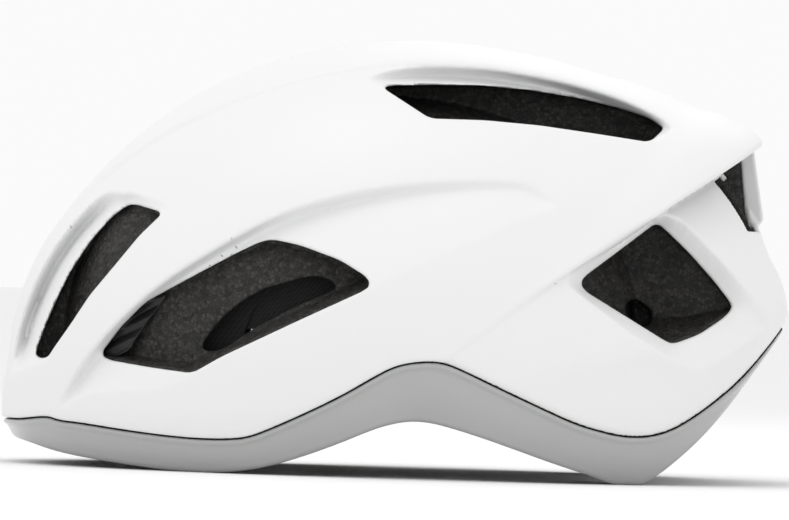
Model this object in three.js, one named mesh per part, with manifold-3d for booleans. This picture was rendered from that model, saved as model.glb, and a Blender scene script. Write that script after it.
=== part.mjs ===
// Road cycling helmet, medium size, in millimetres.
// +Z up, front of the helmet towards -X, wearer's left side towards -Y.
// Origin: bottom centre of the bounding box. The rim's four lowest lobes rest on z = 0.
//
// The outer form is a rounded body whose side outline is a table of radii about one
// centre, and whose width follows a superellipse. Two such bodies make the helmet: the
// lower body, and a tail body that is kept only above a swept wing line. Vents, bevels,
// the rim and the seam are outlines in the side (x, z) plane.
import * as THREE from 'three';
import { mergeVertices } from 'three/addons/utils/BufferGeometryUtils.js';
import Module from 'manifold-3d';

const wasm = await Module();
wasm.setup();

// ---------------------------------------------------------------- driving dimensions
const CENTRE_X = 12.89, CENTRE_Z = 26.52;   // centre of the radius tables
const HALF_WIDTH = 103;                     // half of the overall width
const WIDTH_POWER = 2.2, SIDE_POWER = 2.3;  // roundness across and along
const SKIN = 2.0;                           // thickness of the outer shells
const GAP = 0.3;                            // clearance between neighbouring solids
const RIM_WRAP = 8.0;                       // how far the lower shell turns under the rim
const GRID_AROUND = 42, GRID_ACROSS = 14;   // facets of the body surfaces
// head cavity: a superellipsoid dome on a straight wall
const CAV_X = -12, CAV_Z = 38, CAV_A = 104, CAV_B = 79, CAV_C = 92, CAV_P = 2.3;
const VENT_FLOOR = 7;                       // foam left between a vent pocket and the cavity
const ARCH_HALF_WIDTH = 42, ARCH_HEIGHT = 47, ARCH_X = 50;   // rear cut-out for the dial
// fit system
const PIVOT = [-5, 33];                     // temple pivot (x, z)
const PIN_R = 3.0;
const BAND_T = 1.6, BAND_H = 12;
const DIAL = { x: 82.4, z: 22, r: 12.5, depth: 9.1 };
const PINION_R = 4.0, PINION_TEETH = 10;    // pitch radius and tooth count
const RACK_TRAVEL = 12.57;                  // half a turn of the pinion
// harness webbing
const WEB_W = 15, WEB_T = 1.2;
const LEVER_AXIS_OFFSET = 7.0;

// ---------------------------------------------------------------- outline tables (x, z)
const RADII_UPPER = [125.6,127.7,130.3,133.6,137.2,141.1,144.1,146.6,151.5,148.1,141.8,138.4,135.5,133.2,131.6,130.5,129.9,129.8,130.1,130.7,131.4,132.4,133.5,134.8,136.2,137.8,139.5,141.1,142.8,144.6,146.6,148.9,151.2,152.7,153.6,153.9,153.8,153.8,149.5,142.5,133.8,124.2,114.7,106.4,99.7,94.2,89.6,85.8,82.5,79.7,77.6,76.2,75.3,75.0,75.3,76.2,77.7,79.4,81.5,83.7,86.1,88.8,92.0,95.6,99.5,103.7,107.8,111.8,115.4,118.6,121.4,123.6];
const RADII_LOWER = [124.3,124.9,126.9,132.0,133.4,132.5,133.5,133.6,133.2,133.2,133.1,132.5,131.8,131.3,130.8,130.3,129.9,129.8,130.1,130.7,131.4,132.4,133.5,134.8,136.2,137.8,139.5,141.1,142.8,144.6,146.6,148.9,151.2,152.7,153.6,153.9,153.8,153.8,149.5,142.5,133.8,124.2,114.7,106.4,99.7,94.2,89.6,85.8,82.5,79.7,77.6,76.2,75.3,75.0,75.3,76.2,77.7,79.4,81.5,83.7,86.1,88.8,92.0,95.6,99.6,103.7,107.7,111.7,115.4,118.8,121.6,123.5];
const RIM = [[-163.0,7.4],[-137.9,9.1],[-130.8,8.1],[-122.8,5.8],[-113.9,4.1],[-103.0,2.7],[-88.6,1.1],[-74.3,0.0],[-60.2,0.0],[-46.2,2.1],[-32.3,6.5],[-18.5,12.0],[-6.4,17.5],[1.5,19.8],[7.4,20.5],[14.4,19.9],[26.7,16.7],[40.8,12.2],[55.0,7.4],[69.2,3.1],[77.1,0.0],[82.8,0.0],[88.1,0.0],[94.8,4.5],[102.4,11.1],[109.4,17.9],[118.5,28.6],[126.5,39.3],[135.2,50.7],[145.0,63.0]];
const SEAM = [[-163.2,14.6],[-139.9,15.8],[-132.8,15.9],[-126.0,17.1],[-121.5,17.3],[-118.5,16.2],[-110.4,15.7],[-99.5,14.4],[-85.2,12.9],[-71.0,11.9],[-58.7,12.0],[-51.7,12.8],[-45.8,14.9],[-32.7,21.1],[-18.9,28.2],[-7.0,35.6],[-1.1,38.9],[4.4,40.6],[12.0,41.5],[17.6,40.9],[24.3,38.3],[36.7,32.7],[50.9,26.5],[63.3,21.2],[72.2,18.8],[80.0,17.2],[88.2,17.1],[96.3,19.1],[104.1,23.5],[111.9,29.2],[120.2,36.0],[128.2,44.3],[135.0,52.5],[145.0,64.8]];
const WING = [[142.9,132.1],[126.6,119.7],[107.9,106.8],[96.5,99.2],[89.4,93.7],[77.2,84.9],[56.5,71.7],[36.0,56.0],[12.1,37.9]];
const SIDE_STEP = [[-119.6,17.0],[-118.0,23.5],[-112.5,34.3],[-104.2,45.9],[-95.5,55.3],[-86.2,64.1],[-75.8,71.8],[-65.5,78.4],[-55.8,84.3],[-45.5,90.0],[-33.4,95.1],[-21.2,98.8],[-9.0,101.7],[3.2,103.6],[17.1,105.1],[31.1,105.9],[42.4,105.7],[47.0,103.9],[56.6,98.2]];
const SIDE_FADE = [[56.6,98.3],[42.0,91.5],[24.7,83.6],[7.5,75.0],[-9.3,66.7],[-23.4,59.4],[-40.6,50.9],[-60.6,40.8],[-71.0,34.5],[-76.9,30.8],[-85.7,27.8],[-98.1,27.2],[-108.9,26.4],[-117.2,21.1],[-119.6,17.0]];
const FRONT_STEP = [[-137.8,31.6],[-136.3,43.8],[-133.0,56.4],[-128.3,68.3],[-121.8,79.9],[-113.8,90.2],[-105.1,98.2],[-98.0,98.0]];
const FRONT_FADE = [[-98.0,98.0],[-80.3,93.5],[-83.5,90.9],[-91.3,82.6],[-99.8,71.7],[-108.4,60.9],[-115.2,50.1],[-121.2,41.0],[-123.6,36.6],[-130.3,34.9],[-137.8,31.6]];
const TOP_STEP = [[-14.9,139.8],[-6.9,143.7],[5.5,145.5],[16.1,145.7],[30.4,145.3],[44.6,143.6],[58.9,141.1],[73.3,137.4],[85.8,132.8],[94.1,128.8]];
const TOP_FADE = [[94.1,128.8],[95.5,125.2],[89.3,120.6],[69.6,123.1],[48.3,125.6],[28.9,126.7],[9.5,126.6],[-7.0,137.1],[-14.9,139.8]];
const RIB_EDGE = [[-141.2,24.7],[-138.6,39.4],[-134.6,56.3],[-128.6,71.9],[-120.5,86.4],[-110.1,98.9],[-98.5,109.2],[-86.2,118.0],[-72.0,125.5],[-58.0,131.9],[-43.9,136.9],[-29.8,140.9],[-15.7,144.0],[-1.6,146.1],[9.0,146.6],[26.8,146.3],[48.2,143.8],[69.7,139.1],[87.7,132.5],[97.7,127.1]];
const VENT_FRONT = [[-94.1,93.6],[-83.3,90.7],[-91.3,82.6],[-99.8,71.7],[-108.4,60.9],[-115.2,50.1],[-121.5,40.8],[-123.3,37.7],[-127.8,38.0],[-127.9,40.7],[-125.5,47.9],[-121.2,58.7],[-116.2,69.5],[-109.4,80.3],[-102.5,88.5],[-97.3,92.8]];
const VENT_SIDE = [[-104.0,40.3],[-101.4,38.3],[-85.9,36.2],[-71.0,34.7],[-60.6,41.0],[-33.7,54.6],[-11.4,65.6],[-9.5,67.5],[-10.8,70.3],[-20.4,75.9],[-34.6,80.7],[-44.5,82.5],[-48.7,81.5],[-57.3,77.1],[-69.4,70.2],[-81.2,63.4],[-88.5,59.1],[-97.1,50.0]];
const VENT_TOP = [[-7.7,137.3],[-4.9,138.3],[9.2,139.1],[26.9,139.5],[44.6,138.5],[62.5,136.2],[76.8,133.2],[87.6,130.0],[92.2,126.9],[92.8,125.8],[87.5,120.8],[69.6,123.0],[48.3,125.4],[28.9,126.6],[9.5,126.6]];
const VENT_REAR = [[90.6,92.7],[94.4,89.7],[102.5,82.3],[111.8,72.6],[118.1,65.0],[118.7,62.9],[115.6,59.6],[106.7,53.5],[97.4,49.9],[94.9,50.7],[65.1,67.9],[64.0,70.5],[65.0,72.6]];
const REAR_BEVEL = [[56.5,71.6],[67.3,63.6],[79.9,54.2],[92.5,46.8],[102.4,41.7],[106.0,41.3],[110.0,42.2],[119.7,47.7],[132.7,56.8],[131.8,60.0],[122.8,70.8],[109.7,84.5],[95.8,96.8],[84.4,91.8],[70.4,82.2]];
const HOLE_SIDE = [[-69.6,42.8],[-62.0,53.6],[-55.2,59.9],[-47.4,64.8],[-38.7,67.6],[-30.9,70.0],[-24.7,69.6],[-20.2,66.1],[-30.6,61.6],[-41.0,56.2],[-51.4,50.2],[-61.7,42.2]];
const HOLE_REAR = [[72.8,63.5],[76.2,70.5],[78.9,69.7],[91.6,60.4],[88.2,53.0]];
const HOLE_TOP = [[7.3,130.3],[41.2,131.5],[66.1,128.8],[66.8,124.5],[9.5,127.2]];
const GRIP = [[-104.0,40.3],[-97.1,50.7],[-88.5,59.8],[-82.2,62.8],[-80.4,61.5],[-85.8,54.3],[-90.6,47.1],[-93.2,41.7],[-99.6,38.7]];
const FIN = [[85.4,129.6],[126.0,120.0],[130.0,95.3],[122.9,90.8],[108.3,85.3],[86.9,79.2]];
const FIN_CAP = [[122.7,123.5],[126.3,120.8],[130.7,95.1],[126.5,92.7]];
const FIN_CAP_TALL = [[120.5,127.5],[124.5,126.5],[126.3,120.8],[130.7,95.1],[128.0,91.0],[124.5,92.0]];
const FIN_CAP_CUT = [[119.6,131],[120.1,127.6],[124.1,92],[123.9,88],[140,86],[140,131]];
const VENT_TAIL = [[99,90.5],[150,90.5],[150,134],[142.9,129.1],[126.6,116.7],[107.9,103.8],[100,98]];

// ---------------------------------------------------------------- colours
const MAT = {
  white: { color: 0xf2f2f0, roughness: 0.55, metalness: 0 },
  grey: { color: 0xb9bab8, roughness: 0.32, metalness: 0 },
  foam: { color: 0x1c1a19, roughness: 0.75, metalness: 0 },
  rubber: { color: 0x101011, roughness: 0.6, metalness: 0 },
  plastic: { color: 0x141416, roughness: 0.35, metalness: 0 },
  pad: { color: 0x1a1a1c, roughness: 0.95, metalness: 0 },
  webbing: { color: 0x151516, roughness: 0.9, metalness: 0 },
  steel: { color: 0x8f9194, roughness: 0.3, metalness: 1 },
};

// ---------------------------------------------------------------- small helpers
const group = new THREE.Group();
const rad = (d) => d * Math.PI / 180;
const spow = (v, p) => Math.sign(v) * Math.pow(Math.abs(v), p);

function solid(geometry) {
  const g = geometry.clone();
  for (const k of Object.keys(g.attributes)) if (k !== 'position') g.deleteAttribute(k);
  const m = mergeVertices(g, 1e-4);
  const tri = [], idx = m.index.array;
  for (let i = 0; i < idx.length; i += 3) {
    const [a, b, c] = [idx[i], idx[i + 1], idx[i + 2]];
    if (a !== b && b !== c && a !== c) tri.push(a, b, c);
  }
  return new wasm.Manifold(new wasm.Mesh({
    numProp: 3,
    vertProperties: Float32Array.from(m.attributes.position.array),
    triVerts: Uint32Array.from(tri),
  }));
}

function geometryOf(man) {
  const m = man.getMesh();
  const g = new THREE.BufferGeometry();
  g.setAttribute('position', new THREE.BufferAttribute(new Float32Array(m.vertProperties), 3));
  g.setIndex(new THREE.BufferAttribute(new Uint32Array(m.triVerts), 1));
  g.computeVertexNormals();
  return g;
}

function add(name, shape, mat) {
  const geometry = shape.isBufferGeometry ? shape : geometryOf(shape);
  const mesh = new THREE.Mesh(geometry, new THREE.MeshStandardMaterial(MAT[mat]));
  mesh.name = name;
  group.add(mesh);
  return mesh;
}

const shapeOf = (pts) => new THREE.Shape(pts.map(([a, b]) => new THREE.Vector2(a, b)));

// outline in (x, z), extruded across from y0 to y1
function prismY(pts, y0, y1) {
  const g = new THREE.ExtrudeGeometry(shapeOf(pts), { depth: y1 - y0, bevelEnabled: false, steps: 1, curveSegments: 1 });
  g.rotateX(Math.PI / 2);
  g.translate(0, y1, 0);
  return solid(g);
}
// outline in (y, z), extruded along x from x0 to x1
function prismX(pts, x0, x1) {
  const g = new THREE.ExtrudeGeometry(shapeOf(pts), { depth: x1 - x0, bevelEnabled: false, steps: 1, curveSegments: 1 });
  g.rotateX(Math.PI / 2);
  g.rotateZ(Math.PI / 2);
  g.translate(x0, 0, 0);
  return solid(g);
}
function box(x0, x1, y0, y1, z0, z1) {
  const g = new THREE.BoxGeometry(x1 - x0, y1 - y0, z1 - z0);
  g.translate((x0 + x1) / 2, (y0 + y1) / 2, (z0 + z1) / 2);
  return solid(g);
}
function cylX(r, x0, x1, y, z, seg = 20) {
  const g = new THREE.CylinderGeometry(r, r, x1 - x0, seg);
  g.rotateZ(Math.PI / 2);
  g.translate((x0 + x1) / 2, y, z);
  return solid(g);
}
function cylY(r, y0, y1, x, z, seg = 16) {
  const g = new THREE.CylinderGeometry(r, r, y1 - y0, seg);
  g.translate(x, (y0 + y1) / 2, z);
  return solid(g);
}
const both = (fn) => fn(-1).add(fn(1));          // a left and a right copy in one cutter
const sided = (s, lo, hi) => (s < 0 ? [-hi, -lo] : [lo, hi]);

// ---------------------------------------------------------------- helmet body
function radius(table, angle) {
  const n = table.length;
  const u = ((angle / (2 * Math.PI)) * n % n + n) % n;
  const i = Math.floor(u) % n, f = u - Math.floor(u);
  const k = (j) => table[(i + j + n) % n];
  const [a, b, c, d] = [k(-1), k(0), k(1), k(2)];
  return b + 0.5 * f * (c - a + f * (2 * a - 5 * b + 4 * c - d + f * (3 * (b - c) + d - a)));
}
function level(table, x, y, z) {
  const dx = x - CENTRE_X, dz = z - CENTRE_Z;
  const rho = Math.hypot(dx, dz) / radius(table, Math.atan2(dz, dx));
  return Math.pow(rho, SIDE_POWER) + Math.pow(Math.abs(y) / HALF_WIDTH, WIDTH_POWER) - 1;
}
function segmentDistance(px, pz, a, b) {
  const vx = b[0] - a[0], vz = b[1] - a[1];
  const t = Math.max(0, Math.min(1, ((px - a[0]) * vx + (pz - a[1]) * vz) / (vx * vx + vz * vz + 1e-9)));
  return Math.hypot(px - a[0] - t * vx, pz - a[1] - t * vz);
}
function lineDistance(px, pz, pts) {
  let d = 1e9;
  for (let i = 0; i + 1 < pts.length; i++) d = Math.min(d, segmentDistance(px, pz, pts[i], pts[i + 1]));
  return d;
}
function inside(px, pz, pts) {
  let c = false;
  for (let i = 0, j = pts.length - 1; i < pts.length; j = i++) {
    const [xi, zi] = pts[i], [xj, zj] = pts[j];
    if ((zi > pz) !== (zj > pz) && px < (xj - xi) * (pz - zi) / (zj - zi) + xi) c = !c;
  }
  return c;
}
const smooth = (t) => { t = Math.max(0, Math.min(1, t)); return t * t * (3 - 2 * t); };
// how far the outer surface is sunk below the plain body, at a point of the side view
function sunk(x, z) {
  let d = 0;
  const bevel = (step, fade, h, w) => {
    if (!inside(x, z, step.concat(fade))) return 0;
    const a = lineDistance(x, z, step), b = lineDistance(x, z, fade);
    return h * smooth(a / w) * b / (a + b + 1e-6);
  };
  const hSide = 6.5 - 4.5 * smooth((x + 45) / 100);
  d = Math.max(d, bevel(SIDE_STEP, SIDE_FADE, hSide, 4));
  d = Math.max(d, bevel(FRONT_STEP, FRONT_FADE, 8, 5));
  d = Math.max(d, bevel(TOP_STEP, TOP_FADE, 7, 4));
  if (inside(x, z, REAR_BEVEL)) {
    const a = lineDistance(x, z, REAR_BEVEL.concat([REAR_BEVEL[0]]));
    const b = inside(x, z, VENT_REAR) ? 0 : lineDistance(x, z, VENT_REAR.concat([VENT_REAR[0]]));
    d = Math.max(d, 7 * a / (a + b + 1e-6));
  }
  return d;
}
// closed body surface, moved inwards by "offset" along its normal
function bodySurface(table, offset) {
  const g = new THREE.SphereGeometry(1, GRID_AROUND, GRID_ACROSS);
  const p = g.attributes.position;
  for (let i = 0; i < p.count; i++) {
    const s = Math.hypot(p.getX(i), p.getZ(i));
    const pole = s < 1e-6;
    const ang = pole ? 0 : Math.atan2(p.getZ(i), p.getX(i));
    const rho = pole ? 0 : Math.pow(s, 2 / SIDE_POWER), R = radius(table, ang);
    let x = CENTRE_X + rho * R * Math.cos(ang), z = CENTRE_Z + rho * R * Math.sin(ang);
    let y = pole ? Math.sign(p.getY(i)) * HALF_WIDTH : HALF_WIDTH * spow(p.getY(i), 2 / WIDTH_POWER);
    if (Math.abs(y) < 1e-6) y = 0;
    const e = 0.4, f = (a, b, c) => level(table, a, b, c);
    const n = pole ? new THREE.Vector3(0, Math.sign(y), 0) : new THREE.Vector3(
      f(x + e, y, z) - f(x - e, y, z),
      f(x, y + e, z) - f(x, y - e, z),
      f(x, y, z + e) - f(x, y, z - e)).normalize();
    const o = offset + sunk(x, z);
    p.setXYZ(i, x - n.x * o, y - n.y * o, z - n.z * o);
  }
  return solid(g);
}
const FAR = 230;
const shifted = (pts, dx, dz) => pts.map(([x, z]) => [x + dx, z + dz]);
function aboveLine(pts, lift) {      // region above a line that runs from front to rear
  const q = shifted(pts, 0, lift);
  return prismY([[-FAR, q[0][1]], ...q, [FAR, q[q.length - 1][1]], [FAR, FAR], [-FAR, FAR]], -FAR, FAR);
}
function belowLine(pts, lift) {
  const q = shifted(pts, 0, lift);
  return prismY([[-FAR, -FAR], [FAR, -FAR], [FAR, q[q.length - 1][1]], ...q.slice().reverse(), [-FAR, q[0][1]]], -FAR, FAR);
}
// the wing region: behind and above the swept line
function wingRegion(lift) {
  const q = shifted(WING, -lift * 0.6, lift * 0.8);
  return prismY([...q, [-112, -58], [-FAR, -58], [-FAR, FAR], [FAR, FAR], [FAR, 200]], -FAR, FAR);
}
const TABLE_LOWER = RADII_LOWER.map((r, i) => (i < 14 ? r : RADII_UPPER[i]));
function body(offset, wingLift) {
  return bodySurface(TABLE_LOWER, offset).add(bodySurface(RADII_UPPER, offset).intersect(wingRegion(wingLift)));
}

// ---------------------------------------------------------------- head cavity
// a: azimuth in degrees (0 rear, 90 right, 180 front, -90 left); t: elevation in degrees
// above the dome's equator, or millimetres below it when negative; off: distance inwards
function cavity(a, t, off = 0) {
  const q = 2 / CAV_P;
  const ca = spow(Math.cos(rad(a)), q), sa = spow(Math.sin(rad(a)), q);
  const ce = t >= 0 ? Math.pow(Math.max(0, Math.cos(rad(t))), q) : 1, se = t >= 0 ? Math.pow(Math.sin(rad(t)), q) : 0;
  const X = CAV_A * ce * ca, Y = CAV_B * ce * sa, Z = CAV_C * se;
  const n = new THREE.Vector3(
    spow(X / CAV_A, CAV_P - 1) / CAV_A, spow(Y / CAV_B, CAV_P - 1) / CAV_B,
    t >= 0 ? spow(Z / CAV_C, CAV_P - 1) / CAV_C : 0).normalize();
  return { p: new THREE.Vector3(CAV_X + X - n.x * off, Y - n.y * off, (t >= 0 ? CAV_Z + Z : CAV_Z + t) - n.z * off), n };
}
// b: angle in degrees from straight up towards the rear; y: across
function crown(b, y, off = 0) {
  const q = 2 / CAV_P, s = Math.pow(1 - Math.pow(Math.abs(y) / CAV_B, CAV_P), 1 / CAV_P);
  const X = CAV_A * s * spow(Math.sin(rad(b)), q), Z = CAV_C * s * spow(Math.cos(rad(b)), q);
  const n = new THREE.Vector3(spow(X / CAV_A, CAV_P - 1) / CAV_A, spow(y / CAV_B, CAV_P - 1) / CAV_B, spow(Z / CAV_C, CAV_P - 1) / CAV_C).normalize();
  return { p: new THREE.Vector3(CAV_X + X - n.x * off, y - n.y * off, CAV_Z + Z - n.z * off), n };
}
function cavitySolid(grow) {
  const g = new THREE.SphereGeometry(1, 36, 18);
  g.rotateX(Math.PI / 2);
  const p = g.attributes.position, q = 2 / CAV_P;
  for (let i = 0; i < p.count; i++) {
    const x = p.getX(i), y = p.getY(i), z = p.getZ(i), s = Math.hypot(x, y);
    const ca = s < 1e-6 ? 0 : spow(x / s, q), sa = s < 1e-6 ? 0 : spow(y / s, q);
    if (z >= -1e-6) {
      const r = s < 1e-6 ? 0 : Math.pow(s, q);
      p.setXYZ(i, CAV_X + (CAV_A + grow) * r * ca, (CAV_B + grow) * r * sa, CAV_Z + (CAV_C + grow) * Math.pow(Math.max(0, z), q));
    } else if (s < 1e-6) p.setXYZ(i, CAV_X, 0, -30);
    else {
      const k = Math.min(1, -z * 3);
      const w = -z > 0.6 ? Math.min(1, s / 0.8) : 1;
      p.setXYZ(i, CAV_X + (CAV_A + grow) * ca * w, (CAV_B + grow) * sa * w, CAV_Z - 68 * k);
    }
  }
  return solid(g);
}
// a closed patch that follows the cavity wall
function wallPatch(a0, a1, t0, t1, off0, off1, na, nt, place = cavity) {
  const g = new THREE.BoxGeometry(1, 1, 1, na, nt, 1);
  const p = g.attributes.position;
  for (let i = 0; i < p.count; i++) {
    const u = p.getX(i) + 0.5, v = p.getY(i) + 0.5, w = p.getZ(i) + 0.5;
    const { p: q } = place(a0 + (a1 - a0) * u, t0 + (t1 - t0) * v, off1 + (off0 - off1) * w);
    p.setXYZ(i, q.x, q.y, q.z);
  }
  return solid(g);
}
// a flat strip of webbing or band along placed points; each point is { p, n }
function strip(points, width, thick, steps) {
  const c = new THREE.CatmullRomCurve3(points.map((o) => o.p), false, 'centripetal');
  const m = new THREE.CatmullRomCurve3(points.map((o) => o.n), false, 'centripetal');
  const g = new THREE.BoxGeometry(1, 1, 1, steps, 1, 1);
  const pos = g.attributes.position;
  for (let i = 0; i < pos.count; i++) {
    const u = Math.min(1, Math.max(0, pos.getX(i) + 0.5)), v = pos.getY(i), w = pos.getZ(i);
    const P = c.getPoint(u), T = c.getTangent(u), N = m.getPoint(u);
    N.addScaledVector(T, -N.dot(T)).normalize();
    const B = new THREE.Vector3().crossVectors(N, T).normalize();
    P.addScaledVector(B, v * width).addScaledVector(N, w * thick);
    pos.setXYZ(i, P.x, P.y, P.z);
  }
  return solid(g);
}
const at = (x, y, z, nx, ny, nz) => ({ p: new THREE.Vector3(x, y, z), n: new THREE.Vector3(nx, ny, nz).normalize() });

// ---------------------------------------------------------------- shells and foam liner
const outer = body(0, 0);
const inner = body(SKIN, -1.5);
const foamOuter = body(SKIN + GAP, GAP);
const cavityCut = cavitySolid(0);
const cavityKeep = cavitySolid(VENT_FLOOR);
const ellipse = (a, b, z0, n) => Array.from({ length: n }, (_, i) => [a * Math.cos(2 * Math.PI * i / n), z0 + b * Math.sin(2 * Math.PI * i / n)]);
const arch = prismX(ellipse(ARCH_HALF_WIDTH, ARCH_HEIGHT, 0, 28), ARCH_X, FAR);

const ventSpec = [[VENT_FRONT, 36], [VENT_SIDE, 58], [VENT_TOP, 28], [VENT_REAR, 50]];
let vents = null;
for (const [poly, y0] of ventSpec) for (const s of [-1, 1]) {
  const v = prismY(poly, ...sided(s, y0, 140));
  vents = vents ? vents.add(v) : v;
}
const rearVent = both((s) => prismY(VENT_TAIL, ...sided(s, 7.5, 34)));
const slot = (cx, cz, halfW, halfL, n = 5) => {      // round-ended slot outline
  const pts = [];
  for (let i = 0; i <= n; i++) { const t = rad(180 * i / n); pts.push([cx + halfW * Math.cos(t), cz + halfL - halfW + halfW * Math.sin(t)]); }
  for (let i = 0; i <= n; i++) { const t = rad(180 + 180 * i / n); pts.push([cx + halfW * Math.cos(t), cz - halfL + halfW + halfW * Math.sin(t)]); }
  return pts;
};
const frontCentreVent = prismX(slot(0, 76, 9, 27), -FAR, -40);
const topCentreVent = (() => {
  const g = new THREE.ExtrudeGeometry(shapeOf(slot(0, 0, 9, 38).map(([a, b]) => [b, a])), { depth: 120, bevelEnabled: false, steps: 1, curveSegments: 1 });
  g.translate(-20, 0, 90);
  return solid(g);
})();
const holes = both((s) => prismY(HOLE_SIDE, ...sided(s, 40, 110)))
  .add(both((s) => prismY(HOLE_REAR, ...sided(s, 34, 110))))
  .add(both((s) => box(14, 56, ...sided(s, 43, 53), 90, 127.5)));

const skin = outer.subtract(inner);
const finSlot = prismY(FIN, -6.8, 6.8);
const finWindow = prismY([[90, 80], [150, 80], [150, 118], [127, 117], [108, 104], [90, 94]], -7, 7);
const upper = skin.subtract(finSlot.intersect(finWindow))
  .add(prismY(FIN_CAP_TALL, -6.5, 6.5).intersect(outer.add(prismY([[112, 88], [150, 88], [150, 120], [126, 119], [112, 108]], -7, 7))))
  .intersect(aboveLine(SEAM, 0.2)).subtract(vents).subtract(rearVent)
  .subtract(frontCentreVent).subtract(topCentreVent).subtract(arch);
add('upper_shell', upper, 'white');

const wrap = outer.subtract(bodySurface(TABLE_LOWER, RIM_WRAP)).intersect(belowLine(RIM, SKIN));
const lower = skin.intersect(belowLine(SEAM, -0.2)).add(wrap).intersect(aboveLine(RIM, 0)).subtract(arch).subtract(cavitySolid(1));
add('lower_shell', lower, 'grey');

const fin = prismY(FIN, -6.2, 6.2).subtract(prismY(FIN_CAP_CUT, -20, 20))
  .subtract(body(-GAP, -GAP).subtract(foamOuter).subtract(finSlot.intersect(finWindow)));
const pockets = vents.add(rearVent).subtract(cavityKeep);
const foam = foamOuter.intersect(aboveLine(RIM, SKIN + GAP)).subtract(pockets).add(fin)
  .subtract(prismY(FIN_CAP_CUT, -7, 7))
  .subtract(cavityCut).subtract(holes).subtract(arch).subtract(frontCentreVent).subtract(topCentreVent);
add('eps_liner', foam.subtract(upper), 'foam');

// ---------------------------------------------------------------- vent grips for eyewear
for (const [s, side] of [[-1, 'left'], [1, 'right']]) {
  const block = prismY(GRIP, ...sided(s, 40, 110)).intersect(bodySurface(TABLE_LOWER, 3.2)).subtract(bodySurface(TABLE_LOWER, 6.2));
  add('eyewear_grip_' + side, block.subtract(foam).subtract(upper), 'rubber');
}

// ---------------------------------------------------------------- head band and pads
const BAND_OFF = 3.2;
add('headband_front', wallPatch(100, 260, -BAND_H, 0, BAND_OFF, BAND_OFF + BAND_T, 26, 1), 'plastic');
add('brow_pad', wallPatch(128, 232, -14, 4, 5.2, 10.5, 16, 2), 'pad');
add('crown_pad_center', wallPatch(-44, 32, -11, 11, 0.9, 6.5, 12, 2, crown), 'pad');
for (const [s, side] of [[-1, 'left'], [1, 'right']]) {
  const az = (a0, a1) => (s < 0 ? [-a1, -a0] : [a0, a1]);
  add('headband_anchor_' + side, wallPatch(...az(145, 155), -10, -2, 0.9, BAND_OFF - GAP, 2, 1), 'plastic');
  add('crown_pad_' + side, wallPatch(-46, 36, ...sided(s, 25, 40), 0.9, 6.5, 12, 2, crown), 'pad');
  add('side_pad_' + side, wallPatch(...az(90.5, 142), 5, 25, 3.2, 7.7, 8, 3), 'pad');
  // temple pivot: plate on the liner, pin and retaining head
  const y = (v) => s * v;
  const ys = (lo, hi) => sided(s, lo, hi);
  add('temple_pivot_' + side, box(-12, 2, ...ys(76.6, 77.9), 26, 40)
    .add(cylY(PIN_R, ...ys(70.9, 77.0), PIVOT[0], PIVOT[1]))
    .add(cylY(5.0, ...ys(70.3, 71.5), PIVOT[0], PIVOT[1])), 'plastic');
}

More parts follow.
